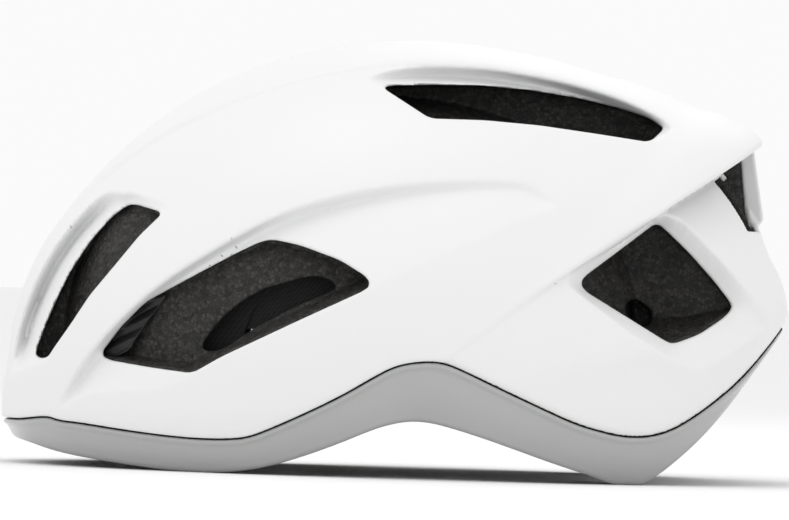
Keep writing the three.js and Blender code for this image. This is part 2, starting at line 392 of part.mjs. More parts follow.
// ---------------------------------------------------------------- harness
const DIV_A = 97, DIV_T = 34;
const dist = (p, q) => p.distanceTo(q);
function frameAt(a, t) {           // tangent frame of the cavity wall: u along azimuth, v upwards, n outwards
  const o = cavity(a, t), v = cavity(a, t + 0.5).p.sub(cavity(a, t - 0.5).p).normalize();
  const n = o.n.clone().addScaledVector(v, -o.n.dot(v)).normalize();
  return { o: o.p, n, v, u: new THREE.Vector3().crossVectors(v, n).normalize() };
}
function elevationAt(a, t, length) {   // elevation reached after walking "length" up the wall
  let k = t, sum = 0;
  const d = Math.sign(length) * 0.25;
  while (sum < Math.abs(length)) { sum += dist(cavity(a, k).p, cavity(a, k + d).p); k += d; }
  return k;
}
const wall = (list) => list.map(([a, t, off]) => cavity(a, t, off));
for (const [s, side] of [[-1, 'left'], [1, 'right']]) {
  const A = s * DIV_A, az = (a0, a1) => (s < 0 ? [-a1, -a0] : [a0, a1]);
  const low = elevationAt(A, DIV_T, -11.4), high = elevationAt(A, DIV_T, 11.2);
  add('strap_anchor_front_' + side, wallPatch(...az(111, 125), -22.5, -17.5, 0.9, 3.4, 2, 1), 'plastic');
  add('strap_anchor_rear_' + side, wallPatch(...az(42, 56), -22.5, -17.5, 0.9, 3.4, 2, 1), 'plastic');
  add('front_strap_' + side, strip(wall([[s * 118, -14.2, 2.1], [s * 117, -6, 2.1], [s * 115.5, 4, 2.1], [s * 112, 14, 2.1], [s * 106.5, 20, 2.1], [s * 101.8, low - 2.6, 2.4]]), WEB_W, WEB_T, 12), 'webbing');
  add('rear_strap_' + side, strip(wall([[s * 49, -14.2, 2.1], [s * 51, -6, 2.1], [s * 56, 6, 2.1], [s * 63, 17, 2.1], [s * 72, 26, 2.1], [s * 80, 32, 2.2], [s * 86.0, 35.0, 2.6]]), WEB_W, WEB_T, 14), 'webbing');
  // divider: base with two ears, and the cam lever hinged near its top
  const f = frameAt(A, DIV_T);
  const basis = new THREE.Matrix4().makeBasis(f.u, f.v, f.n).setPosition(f.o);
  const place = (mesh) => { mesh.applyMatrix4(basis); return mesh; };
  place(add('strap_divider_' + side, box(-12, 12, -10, 10, -3.8, -1.9)
    .add(box(-12, -10.4, 4.5, 9.5, -6.8, -2.4)).add(box(10.4, 12, 4.5, 9.5, -6.8, -2.4)), 'plastic'));
  place(add('divider_lever_' + side, box(-10, 10, -9.4, LEVER_AXIS_OFFSET + 1.2, -6.6, -4.4), 'plastic'));
  // chin strap: up the dome, then straight across over the buckle
  const e = cavity(A, high, 3.2), m1 = cavity(A, high + 2.5, 3.8), m2 = cavity(A, high + 5, 5.0);
  const X = -22.4;
  add('chin_strap_' + side, strip([e, m1, m2, at(X - 0.4, s * 46, 110.9, 0, s * 0.35, 1), at(X, s * 39, 111, 0, 0, 1), at(X, s * 26, 111, 0, 0, 1), at(X, s * 8, 111, 0, 0, 1)], WEB_W, WEB_T, 14), 'webbing');
}
const BK = { x0: -33.4, x1: -11.4, z0: 102, z1: 110 };
const rails = (y0, y1) => box(BK.x0, BK.x0 + 2.9, y0, y1, 109.5, 112.4).add(box(BK.x1 - 2.9, BK.x1, y0, y1, 109.5, 112.4));
add('buckle_socket', box(BK.x0, BK.x1, 1.0, 23, BK.z0, BK.z1).subtract(box(BK.x0 + 2, BK.x1 - 2, 0, 19, BK.z0 + 2, BK.z1 - 2)).add(rails(9, 22)), 'plastic');
add('buckle_plug', box(BK.x0, BK.x1, -23, 0.5, BK.z0, BK.z1).add(box(BK.x0 + 3.5, BK.x0 + 7.5, 0, 17, BK.z0 + 2.5, BK.z1 - 2.5))
  .add(box(BK.x1 - 7.5, BK.x1 - 3.5, 0, 17, BK.z0 + 2.5, BK.z1 - 2.5)).add(rails(-22, -9)), 'plastic');

// ---------------------------------------------------------------- rear cradle
const HX0 = 73, HX1 = 80.3, HZ = DIAL.z, HW = 22, HH = 12;
const rackTop = (s) => (s < 0 ? 1 : -1);     // the left rack runs above the pinion, the right one below
let tray = box(HX0, HX1, -HW, HW, HZ - HH, HZ + HH).subtract(box(HX0 + 2, HX1 + 1, -HW + 2, HW - 2, HZ - HH + 1.8, HZ + HH - 1.8))
  .subtract(box(HX0 + 2.6, HX1 - 0.8, -HW - 1, -HW + 3, HZ + 2.6, HZ + 9)).subtract(box(HX0 + 2.6, HX1 - 0.8, HW - 3, HW + 1, HZ - 9, HZ - 2.6));
add('cradle_housing', tray, 'plastic');
add('cradle_cover', box(HX1 + 0.3, HX1 + 1.8, -HW, HW, HZ - HH, HZ + HH).subtract(cylX(2.4, HX1, HX1 + 3, 0, HZ, 16)), 'plastic');
for (const [s, side] of [[-1, 'left'], [1, 'right']]) {
  // side band from the temple pivot to the back of the head, with the pivot eye
  const band = strip(wall([[s * 99, -5, 6.0], [s * 90, -5, 6.0], [s * 80, -5, 6.0], [s * 66, -7, 6.0], [s * 52, -9.5, 6.2], [s * 43.5, -11.3, 6.2]]), BAND_H, BAND_T, 16)
    .subtract(cylY(PIN_R + 0.4, ...sided(s, 60, 90), PIVOT[0], PIVOT[1]));
  add('side_band_' + side, band, 'plastic');
  // tension belt: flexible band ending in a toothed rack that passes through the housing
  const b = strip([cavity(s * 58, -10, 8.6), cavity(s * 50, -11.5, 8.8), at(61.5, s * 50.5, 24.4, 1, s * 0.8, 0), at(71.4, s * 42.9, 22.6, 1, s * 0.55, 0), at(77.5, s * 35.9, 22, 1, s * 0.12, 0)], BAND_H, 1.4, 12);
  const pitch = 2 * Math.PI * PINION_R / PINION_TEETH, k = rackTop(s), teeth = [];
  // pitch line at HZ + k * PINION_R; tooth tips towards the pinion
  const root = HZ + k * (PINION_R + 0.85), tip = HZ + k * (PINION_R - 0.6), back = HZ + k * (PINION_R + 3.9);
  const y0 = s * 37, y1 = -s * 3;
  const dir = Math.sign(y1 - y0), profile = [[y0, back], [y1, back], [y1, root]];
  for (let j = -1; j < 12; j++) {
    const c = (j + 0.5) * pitch * -dir;     // a pinion tooth points straight at the rack at rest, so gaps sit at multiples of the pitch
    if (Math.abs(c) < 21 && (c - y1) * -dir > 1.2) profile.push([c + dir * 0.95, root], [c + dir * 0.25, tip], [c - dir * 0.25, tip], [c - dir * 0.95, root]);
  }
  profile.push([y0, root]);
  add('belt_' + side, b.add(prismX(profile, 76.5, 78.5)), 'plastic');
  // yoke arm and its pad, up the back of the head
  add('cradle_pad_' + side, strip([at(71.6, s * 15, 38.6, 1, 0, -0.1), at(72.8, s * 20, 50, 1, s * 0.1, 0.05), at(72.0, s * 25.5, 62, 1, s * 0.2, 0.25)], 17, 4.2, 5), 'pad');
}
const arm = (s) => strip([at(75.2, s * 13, 37.4, 1, 0, -0.08), at(76.4, s * 16, 42, 1, 0, -0.05), at(77.0, s * 21, 53, 1, s * 0.1, 0.1), at(76.0, s * 26, 65, 1, s * 0.2, 0.25)], 11, 1.8, 6);
add('cradle_yoke', arm(-1).add(arm(1)).add(box(74.4, 76.1, -19, 19, HZ + HH + 0.4, HZ + HH + 6)), 'plastic');
add('height_strap', strip([at(79.0, 0, 34.6, 1, 0, 0), at(79.2, 0, 46, 1, 0, 0), at(79.4, 0, 58, 1, 0, 0), at(79.4, 0, 72, 1, 0, 0)], 9, 1.2, 6), 'plastic');
const anchorRail = (s) => box(77.5, 85.5, ...sided(s, 5.2, 8.4), 58, 70);
add('height_anchor', anchorRail(-1).add(anchorRail(1)).add(box(84.1, 86.7, -8.4, 8.4, 58, 70)).add(box(84.1, 88.7, -8.4, 8.4, 56, 63)), 'plastic');

// ---------------------------------------------------------------- dial
function gear(n, rTip, rRoot, half, x0, x1) {
  const pts = [];
  for (let i = 0; i < n; i++) {
    const a = rad(90 + 360 * i / n);
    for (const [r, d] of [[rRoot, -0.19], [rTip, -0.06], [rTip, 0.06], [rRoot, 0.19]]) pts.push([r * Math.cos(a + d * half), HZ + r * Math.sin(a + d * half)]);
  }
  return prismX(pts, x0, x1);
}
add('dial_pinion', gear(PINION_TEETH, PINION_R + 0.55, PINION_R - 0.75, 1.0, 75.6, 79.2).add(cylX(2.0, 79.0, DIAL.x + 5, 0, HZ, 16)), 'plastic');
const knobOutline = Array.from({ length: 48 }, (_, i) => {
  const r = DIAL.r - (i % 4 < 2 ? 0 : 0.9);
  return [r * Math.cos(rad(7.5 * i)), HZ + r * Math.sin(rad(7.5 * i))];
});
add('dial_knob', prismX(knobOutline, DIAL.x, DIAL.x + DIAL.depth).subtract(cylX(2.3, DIAL.x - 1, DIAL.x + 5.3, 0, HZ, 16)).subtract(cylX(3.4, DIAL.x + 6.8, DIAL.x + 12, 0, HZ, 16)).subtract(cylX(1.6, DIAL.x, DIAL.x + 9, 0, HZ, 12)), 'plastic');
add('dial_screw', cylX(3.0, DIAL.x + 7.1, DIAL.x + 8.6, 0, HZ, 14).add(cylX(1.25, DIAL.x + 5.3, DIAL.x + 7.5, 0, HZ, 10)), 'steel');

export default group;
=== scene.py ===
import bpy, bmesh, math, time
import numpy as np
from mathutils import Vector, Matrix


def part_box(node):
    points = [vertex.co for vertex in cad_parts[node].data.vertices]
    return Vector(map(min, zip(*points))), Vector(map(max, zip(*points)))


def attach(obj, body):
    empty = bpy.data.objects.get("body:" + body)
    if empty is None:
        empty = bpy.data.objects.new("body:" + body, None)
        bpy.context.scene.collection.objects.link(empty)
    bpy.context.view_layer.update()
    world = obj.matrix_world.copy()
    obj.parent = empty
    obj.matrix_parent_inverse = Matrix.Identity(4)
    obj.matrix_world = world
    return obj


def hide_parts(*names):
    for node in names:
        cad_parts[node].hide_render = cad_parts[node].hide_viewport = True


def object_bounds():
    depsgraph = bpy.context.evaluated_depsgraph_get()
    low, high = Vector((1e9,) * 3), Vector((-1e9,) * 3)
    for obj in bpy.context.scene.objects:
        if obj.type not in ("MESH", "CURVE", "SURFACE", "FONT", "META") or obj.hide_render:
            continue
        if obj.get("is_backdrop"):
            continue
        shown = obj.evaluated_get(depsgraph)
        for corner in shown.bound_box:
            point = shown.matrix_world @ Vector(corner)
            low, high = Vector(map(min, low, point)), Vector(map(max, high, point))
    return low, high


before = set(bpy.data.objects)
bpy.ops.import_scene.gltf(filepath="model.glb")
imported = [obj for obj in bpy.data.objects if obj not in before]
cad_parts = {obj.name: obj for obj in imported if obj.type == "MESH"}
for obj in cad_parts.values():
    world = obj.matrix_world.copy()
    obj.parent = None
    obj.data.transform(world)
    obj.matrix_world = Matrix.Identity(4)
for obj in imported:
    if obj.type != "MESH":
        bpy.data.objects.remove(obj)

CAD_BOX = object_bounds()
T0 = time.time()
MM = 0.001


def note(*a):
    print("[scene %.1fs]" % (time.time() - T0), *a)


# ------------------------------------------------------------------ outline tables, millimetres
CX, CZ = 12.89, 26.52
HALF_W, NP, MP, KP = 103.0, 2.2, 2.3, 2.25
SKIN = 2.0
RADII_UPPER = [125.6, 127.7, 130.3, 133.6, 137.2, 141.1, 144.1, 146.6, 151.5, 148.1, 141.8, 138.4, 135.5, 133.2, 131.6, 130.5, 129.9, 129.8, 130.1, 130.7, 131.4, 132.4, 133.5, 134.8, 136.2, 137.8, 139.5, 141.1, 142.8, 144.6, 146.6, 148.9, 151.2, 152.7, 153.6, 153.9, 153.8, 153.8, 149.5, 142.5, 133.8, 124.2, 114.7, 106.4, 99.7, 94.2, 89.6, 85.8, 82.5, 79.7, 77.6, 76.2, 75.3, 75.0, 75.3, 76.2, 77.7, 79.4, 81.5, 83.7, 86.1, 88.8, 92.0, 95.6, 99.5, 103.7, 107.8, 111.8, 115.4, 118.6, 121.4, 123.6]
RADII_LOWER = [124.3, 124.9, 126.9, 132.0, 133.4, 132.5, 133.5, 133.6, 133.2, 133.2, 133.1, 132.5, 131.8, 131.3, 130.8, 130.3, 129.9, 129.8, 130.1, 130.7, 131.4, 132.4, 133.5, 134.8, 136.2, 137.8, 139.5, 141.1, 142.8, 144.6, 146.6, 148.9, 151.2, 152.7, 153.6, 153.9, 153.8, 153.8, 149.5, 142.5, 133.8, 124.2, 114.7, 106.4, 99.7, 94.2, 89.6, 85.8, 82.5, 79.7, 77.6, 76.2, 75.3, 75.0, 75.3, 76.2, 77.7, 79.4, 81.5, 83.7, 86.1, 88.8, 92.0, 95.6, 99.6, 103.7, 107.7, 111.7, 115.4, 118.8, 121.6, 123.5]
RIM = [[-163.0, 7.4], [-137.9, 9.1], [-130.8, 8.1], [-122.8, 5.8], [-113.9, 4.1], [-103.0, 2.7], [-88.6, 1.1], [-74.3, 0.0], [-60.2, 0.0], [-46.2, 2.1], [-32.3, 6.5], [-18.5, 12.0], [-6.4, 17.5], [1.5, 19.8], [7.4, 20.5], [14.4, 19.9], [26.7, 16.7], [40.8, 12.2], [55.0, 7.4], [69.2, 3.1], [77.1, 0.0], [82.8, 0.0], [88.1, 0.0], [94.8, 4.5], [102.4, 11.1], [109.4, 17.9], [118.5, 28.6], [126.5, 39.3], [135.2, 50.7], [145.0, 63.0]]
SEAM = [[-163.2, 14.6], [-139.9, 15.8], [-132.8, 15.9], [-126.0, 17.1], [-121.5, 17.3], [-118.5, 16.2], [-110.4, 15.7], [-99.5, 14.4], [-85.2, 12.9], [-71.0, 11.9], [-58.7, 12.0], [-51.7, 12.8], [-45.8, 14.9], [-32.7, 21.1], [-18.9, 28.2], [-7.0, 35.6], [-1.1, 38.9], [4.4, 40.6], [12.0, 41.5], [17.6, 40.9], [24.3, 38.3], [36.7, 32.7], [50.9, 26.5], [63.3, 21.2], [72.2, 18.8], [80.0, 17.2], [88.2, 17.1], [96.3, 19.1], [104.1, 23.5], [111.9, 29.2], [120.2, 36.0], [128.2, 44.3], [135.0, 52.5], [145.0, 64.8]]
WING = [[142.9, 132.1], [126.6, 119.7], [107.9, 106.8], [96.5, 99.2], [89.4, 93.7], [77.2, 84.9], [56.5, 71.7], [36.0, 56.0], [12.1, 37.9]]
SIDE_STEP = [[-119.6, 17.0], [-118.0, 23.5], [-112.5, 34.3], [-104.2, 45.9], [-95.5, 55.3], [-86.2, 64.1], [-75.8, 71.8], [-65.5, 78.4], [-55.8, 84.3], [-45.5, 90.0], [-33.4, 95.1], [-21.2, 98.8], [-9.0, 101.7], [3.2, 103.6], [17.1, 105.1], [31.1, 105.9], [42.4, 105.7], [47.0, 103.9], [56.6, 98.2]]
SIDE_FADE = [[56.6, 98.3], [42.0, 91.5], [24.7, 83.6], [7.5, 75.0], [-9.3, 66.7], [-23.4, 59.4], [-40.6, 50.9], [-60.6, 40.8], [-71.0, 34.5], [-76.9, 30.8], [-85.7, 27.8], [-98.1, 27.2], [-108.9, 26.4], [-117.2, 21.1], [-119.6, 17.0]]
FRONT_STEP = [[-137.8, 31.6], [-136.3, 43.8], [-133.0, 56.4], [-128.3, 68.3], [-121.8, 79.9], [-113.8, 90.2], [-105.1, 98.2], [-98.0, 98.0]]
FRONT_FADE = [[-98.0, 98.0], [-80.3, 93.5], [-83.5, 90.9], [-91.3, 82.6], [-99.8, 71.7], [-108.4, 60.9], [-115.2, 50.1], [-121.2, 41.0], [-123.6, 36.6], [-130.3, 34.9], [-137.8, 31.6]]
TOP_STEP = [[-14.9, 139.8], [-6.9, 143.7], [5.5, 145.5], [16.1, 145.7], [30.4, 145.3], [44.6, 143.6], [58.9, 141.1], [73.3, 137.4], [85.8, 132.8], [94.1, 128.8]]
TOP_FADE = [[94.1, 128.8], [95.5, 125.2], [89.3, 120.6], [69.6, 123.1], [48.3, 125.6], [28.9, 126.7], [9.5, 126.6], [-7.0, 137.1], [-14.9, 139.8]]
RIB_EDGE = [[-141.2, 24.7], [-138.6, 39.4], [-134.6, 56.3], [-128.6, 71.9], [-120.5, 86.4], [-110.1, 98.9], [-98.5, 109.2], [-86.2, 118.0], [-72.0, 125.5], [-58.0, 131.9], [-43.9, 136.9], [-29.8, 140.9], [-15.7, 144.0], [-1.6, 146.1], [9.0, 146.6], [26.8, 146.3], [48.2, 143.8], [69.7, 139.1], [87.7, 132.5], [97.7, 127.1]]
VENT_FRONT = [[-94.1, 93.6], [-83.3, 90.7], [-91.3, 82.6], [-99.8, 71.7], [-108.4, 60.9], [-115.2, 50.1], [-121.5, 40.8], [-123.3, 37.7], [-127.8, 38.0], [-127.9, 40.7], [-125.5, 47.9], [-121.2, 58.7], [-116.2, 69.5], [-109.4, 80.3], [-102.5, 88.5], [-97.3, 92.8]]
VENT_SIDE = [[-104.0, 40.3], [-101.4, 38.3], [-85.9, 36.2], [-71.0, 34.7], [-60.6, 41.0], [-33.7, 54.6], [-11.4, 65.6], [-9.5, 67.5], [-10.8, 70.3], [-20.4, 75.9], [-34.6, 80.7], [-44.5, 82.5], [-48.7, 81.5], [-57.3, 77.1], [-69.4, 70.2], [-81.2, 63.4], [-88.5, 59.1], [-97.1, 50.0]]
VENT_TOP = [[-7.7, 137.3], [-4.9, 138.3], [9.2, 139.1], [26.9, 139.5], [44.6, 138.5], [62.5, 136.2], [76.8, 133.2], [87.6, 130.0], [92.2, 126.9], [92.8, 125.8], [87.5, 120.8], [69.6, 123.0], [48.3, 125.4], [28.9, 126.6], [9.5, 126.6]]
VENT_REAR = [[90.6, 92.7], [94.4, 89.7], [102.5, 82.3], [111.8, 72.6], [118.1, 65.0], [118.7, 62.9], [115.6, 59.6], [106.7, 53.5], [97.4, 49.9], [94.9, 50.7], [65.1, 67.9], [64.0, 70.5], [65.0, 72.6]]
REAR_BEVEL = [[56.5, 71.6], [67.3, 63.6], [79.9, 54.2], [92.5, 46.8], [102.4, 41.7], [106.0, 41.3], [110.0, 42.2], [119.7, 47.7], [132.7, 56.8], [131.8, 60.0], [122.8, 70.8], [109.7, 84.5], [95.8, 96.8], [84.4, 91.8], [70.4, 82.2]]
HOLE_SIDE = [[-69.6, 42.8], [-62.0, 53.6], [-55.2, 59.9], [-47.4, 64.8], [-38.7, 67.6], [-30.9, 70.0], [-24.7, 69.6], [-20.2, 66.1], [-30.6, 61.6], [-41.0, 56.2], [-51.4, 50.2], [-61.7, 42.2]]
HOLE_REAR = [[72.8, 63.5], [76.2, 70.5], [78.9, 69.7], [91.6, 60.4], [88.2, 53.0]]
GRIP = [[-104.0, 40.3], [-97.1, 50.7], [-88.5, 59.8], [-82.2, 62.8], [-80.4, 61.5], [-85.8, 54.3], [-90.6, 47.1], [-93.2, 41.7], [-99.6, 38.7]]
FIN = [[85.4, 129.6], [126.0, 120.0], [130.0, 95.3], [122.9, 90.8], [108.3, 85.3], [86.9, 79.2]]
FIN_CAP_TALL = [[120.5, 127.5], [124.5, 126.5], [126.3, 120.8], [130.7, 95.1], [128.0, 91.0], [124.5, 92.0]]
FIN_CAP_CUT = [[119.6, 131], [120.1, 127.6], [124.1, 92], [123.9, 88], [140, 86], [140, 131]]
VENT_TAIL = [[99, 90.5], [150, 90.5], [150, 134], [142.9, 129.8], [126.6, 118.3], [107.4, 105.2], [100, 98]]
RL = [r if i < 14 else RADII_UPPER[i] for i, r in enumerate(RADII_LOWER)]
CAV = dict(x=-12.0, z=38.0, a=104.0, b=79.0, c=92.0, p=2.3)


def chaikin(pts, closed=True, it=2):
    p = np.array(pts, float)
    for _ in range(it):
        if closed:
            q = np.roll(p, -1, axis=0)
            a, b = 0.75 * p + 0.25 * q, 0.25 * p + 0.75 * q
            p = np.empty((2 * len(a), 2)); p[0::2] = a; p[1::2] = b
        else:
            a, b = 0.75 * p[:-1] + 0.25 * p[1:], 0.25 * p[:-1] + 0.75 * p[1:]
            q = np.empty((2 * len(a) + 2, 2)); q[0] = p[0]; q[-1] = p[-1]; q[1:-1:2] = a; q[2:-1:2] = b
            p = q
    return p


def corner(pts, cut=2.0, closed=True, it=2):
    """round each corner by at most `cut` millimetres along its two sides"""
    p = np.array(pts, float)
    for k in range(it):
        n = len(p); out = []
        for i in range(n):
            if not closed and i in (0, n - 1):
                out.append(p[i]); continue
            a, b, c = p[i - 1], p[i], p[(i + 1) % n]
            la, lc = np.linalg.norm(a - b) + 1e-9, np.linalg.norm(c - b) + 1e-9
            t = cut / (1.0 + 1.6 * k)
            out.append(b + (a - b) * min(t, 0.33 * la) / la); out.append(b + (c - b) * min(t, 0.33 * lc) / lc)
        p = np.array(out)
    return p


def extend(pts, l=60.0):
    p = np.array(pts, float)
    a = p[0] + (p[0] - p[1]) / np.linalg.norm(p[0] - p[1]) * l
    b = p[-1] + (p[-1] - p[-2]) / np.linalg.norm(p[-1] - p[-2]) * l
    return np.vstack([a, p, b])


def line_dist(X, Z, pts, closed=False):
    p = np.array(pts, float)
    q = np.roll(p, -1, axis=0) if closed else p[1:]
    p = p if closed else p[:-1]
    best = np.full(X.shape, 1e9, np.float32)
    for (ax, az), (bx, bz) in zip(p, q):
        vx, vz = bx - ax, bz - az
        L = vx * vx + vz * vz + 1e-9
        t = np.clip(((X - ax) * vx + (Z - az) * vz) / L, 0, 1)
        d = (X - ax - t * vx) ** 2 + (Z - az - t * vz) ** 2
        np.minimum(best, d, out=best)
    return np.sqrt(best)


def inside(X, Z, pts):
    p = np.array(pts, float)
    c = np.zeros(X.shape, bool)
    j = len(p) - 1
    for i in range(len(p)):
        xi, zi = p[i]; xj, zj = p[j]
        if zi != zj:
            c ^= ((zi > Z) != (zj > Z)) & (X < (xj - xi) * (Z - zi) / (zj - zi) + xi)
        j = i
    return c


def poly_sd(X, Z, pts):
    d = line_dist(X, Z, pts, True)
    return np.where(inside(X, Z, pts), -d, d).astype(np.float32)


def above_sd(X, Z, pts):
    """signed distance to a line running front to rear: negative above it"""
    p = extend(pts, 200.0)
    d = line_dist(X, Z, p)
    big = np.vstack([p, [[p[-1][0], 900.0], [p[0][0], 900.0]]])
    return np.where(inside(X, Z, big), -d, d).astype(np.float32)


def sstep(t):
    t = np.clip(t, 0, 1)
    return t * t * (3 - 2 * t)


def radius_tab(tab, ang):
    tab = np.array(tab, float); n = len(tab)
    u = (ang / (2 * np.pi) * n) % n
    i = np.floor(u).astype(int) % n; f = u - np.floor(u)
    a, b, c, d = tab[(i - 1) % n], tab[i], tab[(i + 1) % n], tab[(i + 2) % n]
    return b + 0.5 * f * (c - a + f * (2 * a - 5 * b + 4 * c - d + f * (3 * (b - c) + d - a)))


# ------------------------------------------------------------------ maps over the side plane
LAT = 0.5
LX0, LZ0 = -150.0, -8.0
NXL, NZL = int(300 / LAT) + 1, int(176 / LAT) + 1
gx = (LX0 + LAT * np.arange(NXL)).astype(np.float32)
gz = (LZ0 + LAT * np.arange(NZL)).astype(np.float32)
X2, Z2 = np.meshgrid(gx, gz, indexing="ij")


def body_maps(tab):
    dx, dz = X2 - CX, Z2 - CZ
    r = np.hypot(dx, dz) + 1e-4
    ang = np.arctan2(dz, dx)
    R = radius_tab(tab, ang); e = 0.004
    Rp = (radius_tab(tab, ang + e) - radius_tab(tab, ang - e)) / (2 * e)
    rho = r / R
    P = rho ** MP
    A = MP * rho ** (MP - 1) / R * np.sqrt(1 + (Rp / R) ** 2)
    return P.astype(np.float32), A.astype(np.float32)


def bevel(step, fade, h, w):
    poly = np.vstack([step, fade])
    m = inside(X2, Z2, poly)
    a, b = line_dist(X2, Z2, step), line_dist(X2, Z2, fade)
    return np.where(m, h * sstep(a / w) * b / (a + b + 1e-6), 0.0).astype(np.float32)


def blur(a, n=1):
    for _ in range(n):
        p = np.pad(a, 1, mode="edge")
        a = (p[:-2, 1:-1] + p[2:, 1:-1] + p[1:-1, :-2] + p[1:-1, 2:] + 2 * a) / 6
    return a.astype(np.float32)


def make_maps():
    M = {}
    M["pL"], M["aL"] = body_maps(RL)
    M["pU"], M["aU"] = body_maps(RADII_UPPER)
    sS, sF = chaikin(SIDE_STEP, False), chaikin(SIDE_FADE, False)
    hs = 6.5 - 4.5 * sstep((X2 + 45) / 100)
    d = bevel(sS, sF, hs, 4.0)
    d = np.maximum(d, bevel(chaikin(FRONT_STEP, False), chaikin(FRONT_FADE, False, 1), 8.0, 5.0))
    d = np.maximum(d, bevel(chaikin(TOP_STEP, False), chaikin(TOP_FADE, False, 1), 7.0, 4.0))
    vents = [corner(v, 1.4) for v in (VENT_FRONT, VENT_SIDE, VENT_TOP, VENT_REAR)]
    qd = chaikin(REAR_BEVEL, True, 1)
    a, b = line_dist(X2, Z2, qd, True), np.maximum(poly_sd(X2, Z2, vents[3]), 0)
    d = np.maximum(d, np.where(inside(X2, Z2, qd), 7.0 * a / (a + b + 1e-6), 0))
    g = chaikin(extend(RIB_EDGE, 1.0), False)
    gd = line_dist(X2, Z2, g)
    big = np.vstack([g, [[g[-1][0], -400.0], [g[0][0], -400.0]]])
    gs = np.where(inside(X2, Z2, big), gd, -gd)            # positive on the outer, lower side
    fade = np.exp(-(gs / 17.0) ** 2) * sstep((Z2 - 24) / 30) * sstep((104 - X2) / 30)
    d = d + 1.5 * sstep((gs + 1.5) / 3.0) * fade
    M["d"] = blur(d, 2)
    dd = M["d"].copy()
    for _ in range(7):
        p = np.pad(dd, 1, mode="edge")
        dd = np.maximum.reduce([p[1:-1, 1:-1], p[:-2, 1:-1], p[2:, 1:-1], p[1:-1, :-2], p[1:-1, 2:]])
    M["dd"] = blur(dd, 4)
    for k, v in zip("ABCD", vents):
        M["v" + k] = poly_sd(X2, Z2, v)
    M["seam"] = above_sd(X2, Z2, chaikin(SEAM, False))
    M["rim"] = above_sd(X2, Z2, chaikin(RIM, False, 2))
    w = np.array(WING)[::-1]
    M["fB"] = above_sd(X2, Z2, [[-118.0, 40.3], [-104.0, 39.0], [-85.9, 36.2], [-71.0, 34.7], [-60.6, 41.0], [-33.7, 54.6], [-11.4, 65.6], [8.0, 75.0]])
    M["fD"] = above_sd(X2, Z2, [[80.0, 43.5], [92.0, 48.2], [97.4, 49.9], [106.7, 53.5], [115.6, 59.6], [128.0, 68.5]])
    M["wing"] = above_sd(X2, Z2, chaikin(np.vstack([[[-60, -19]], w]), False))
    M["tail"] = poly_sd(X2, Z2, corner(VENT_TAIL, 1.5))
    M["fin"] = poly_sd(X2, Z2, FIN)
    M["cap"] = poly_sd(X2, Z2, FIN_CAP_TALL)
    M["capcut"] = poly_sd(X2, Z2, FIN_CAP_CUT)
    M["hB"] = poly_sd(X2, Z2, chaikin(HOLE_SIDE))
    M["hD"] = poly_sd(X2, Z2, corner([[79.5, 61.0], [83.5, 66.3], [91.6, 60.4], [88.2, 54.0]], 2.0))
    M["grip"] = poly_sd(X2, Z2, chaikin(GRIP, True, 1))
    return M


MAPS = make_maps()
note("maps", len(MAPS))
KEYS = list(MAPS)
STACK = np.stack([MAPS[k] for k in KEYS], axis=-1)         # (x, z, map)


def sample(x, z, keys=None):
    """bilinear lookup of every map"""
    u = np.clip((x - LX0) / LAT, 0, NXL - 1.001); v = np.clip((z - LZ0) / LAT, 0, NZL - 1.001)
    i, j = u.astype(np.int32), v.astype(np.int32)
    fu, fv = (u - i)[..., None].astype(np.float32), (v - j)[..., None].astype(np.float32)
    a = STACK[i, j] * (1 - fu) + STACK[i + 1, j] * fu
    b = STACK[i, j + 1] * (1 - fu) + STACK[i + 1, j + 1] * fu
    s = a * (1 - fv) + b * fv
    return {k: s[..., n] for n, k in enumerate(KEYS)}


def smax(a, b, r):
    h = np.clip(0.5 + 0.5 * (a - b) / r, 0, 1)
    return b + (a - b) * h + r * h * (1 - h) * 0.5 * 2 * 0.5


def smin(a, b, r):
    return -smax(-a, -b, r)


def sd_body(P, A, y):
    q = np.abs(y) / HALF_W
    G = P + q ** NP
    grad = np.sqrt(A * A + (NP / HALF_W * q ** (NP - 1)) ** 2)
    k = 1.0 / KP
    return (G ** k - 1.0) / (k * np.maximum(G, 1e-3) ** (k - 1) * np.maximum(grad, 2e-3))


def sd_cavity(x, y, z, grow=0.0):
    c = CAV; p = c["p"]
    X, Y, Z = np.abs(x - c["x"]) / (c["a"] + grow), np.abs(y) / (c["b"] + grow), np.maximum(z - c["z"], 0) / (c["c"] + grow)
    G = X ** p + Y ** p + Z ** p
    g = np.sqrt((X ** (p - 1) / (c["a"] + grow)) ** 2 + (Y ** (p - 1) / (c["b"] + grow)) ** 2 + (Z ** (p - 1) / (c["c"] + grow)) ** 2) * p
    k = 1 / p
    return (G ** k - 1.0) / (k * np.maximum(G, 1e-3) ** (k - 1) * np.maximum(g, 2e-3))


def slot_sd(a, b, ha, hb):
    """rounded slot outline in two coordinates: half width ha, half length hb"""
    return np.hypot(a, np.maximum(np.abs(b) - (hb - ha), 0)) - ha


def fields(x, y, z, m):
    """the shared pieces of the shape at points (x, |y|, z)"""
    y = np.abs(y)
    d = m["d"]
    # centre channel with a front vent and a top vent
    ch = sstep((21 - y) / 9.0) * sstep((z - 26) / 22.0) * sstep((86 - x) / 34.0)
    d = d + 4.2 * ch
    below = np.maximum(m["seam"], 0)
    L0 = sd_body(m["pL"], m["aL"], y)
    U0 = sd_body(m["pU"], m["aU"], y)
    di = m["dd"] + d - m["d"]
    return dict(y=y, L=L0 + d, U=U0 + d, Li=L0 + di, Ui=U0 + di, d=d, below=below)


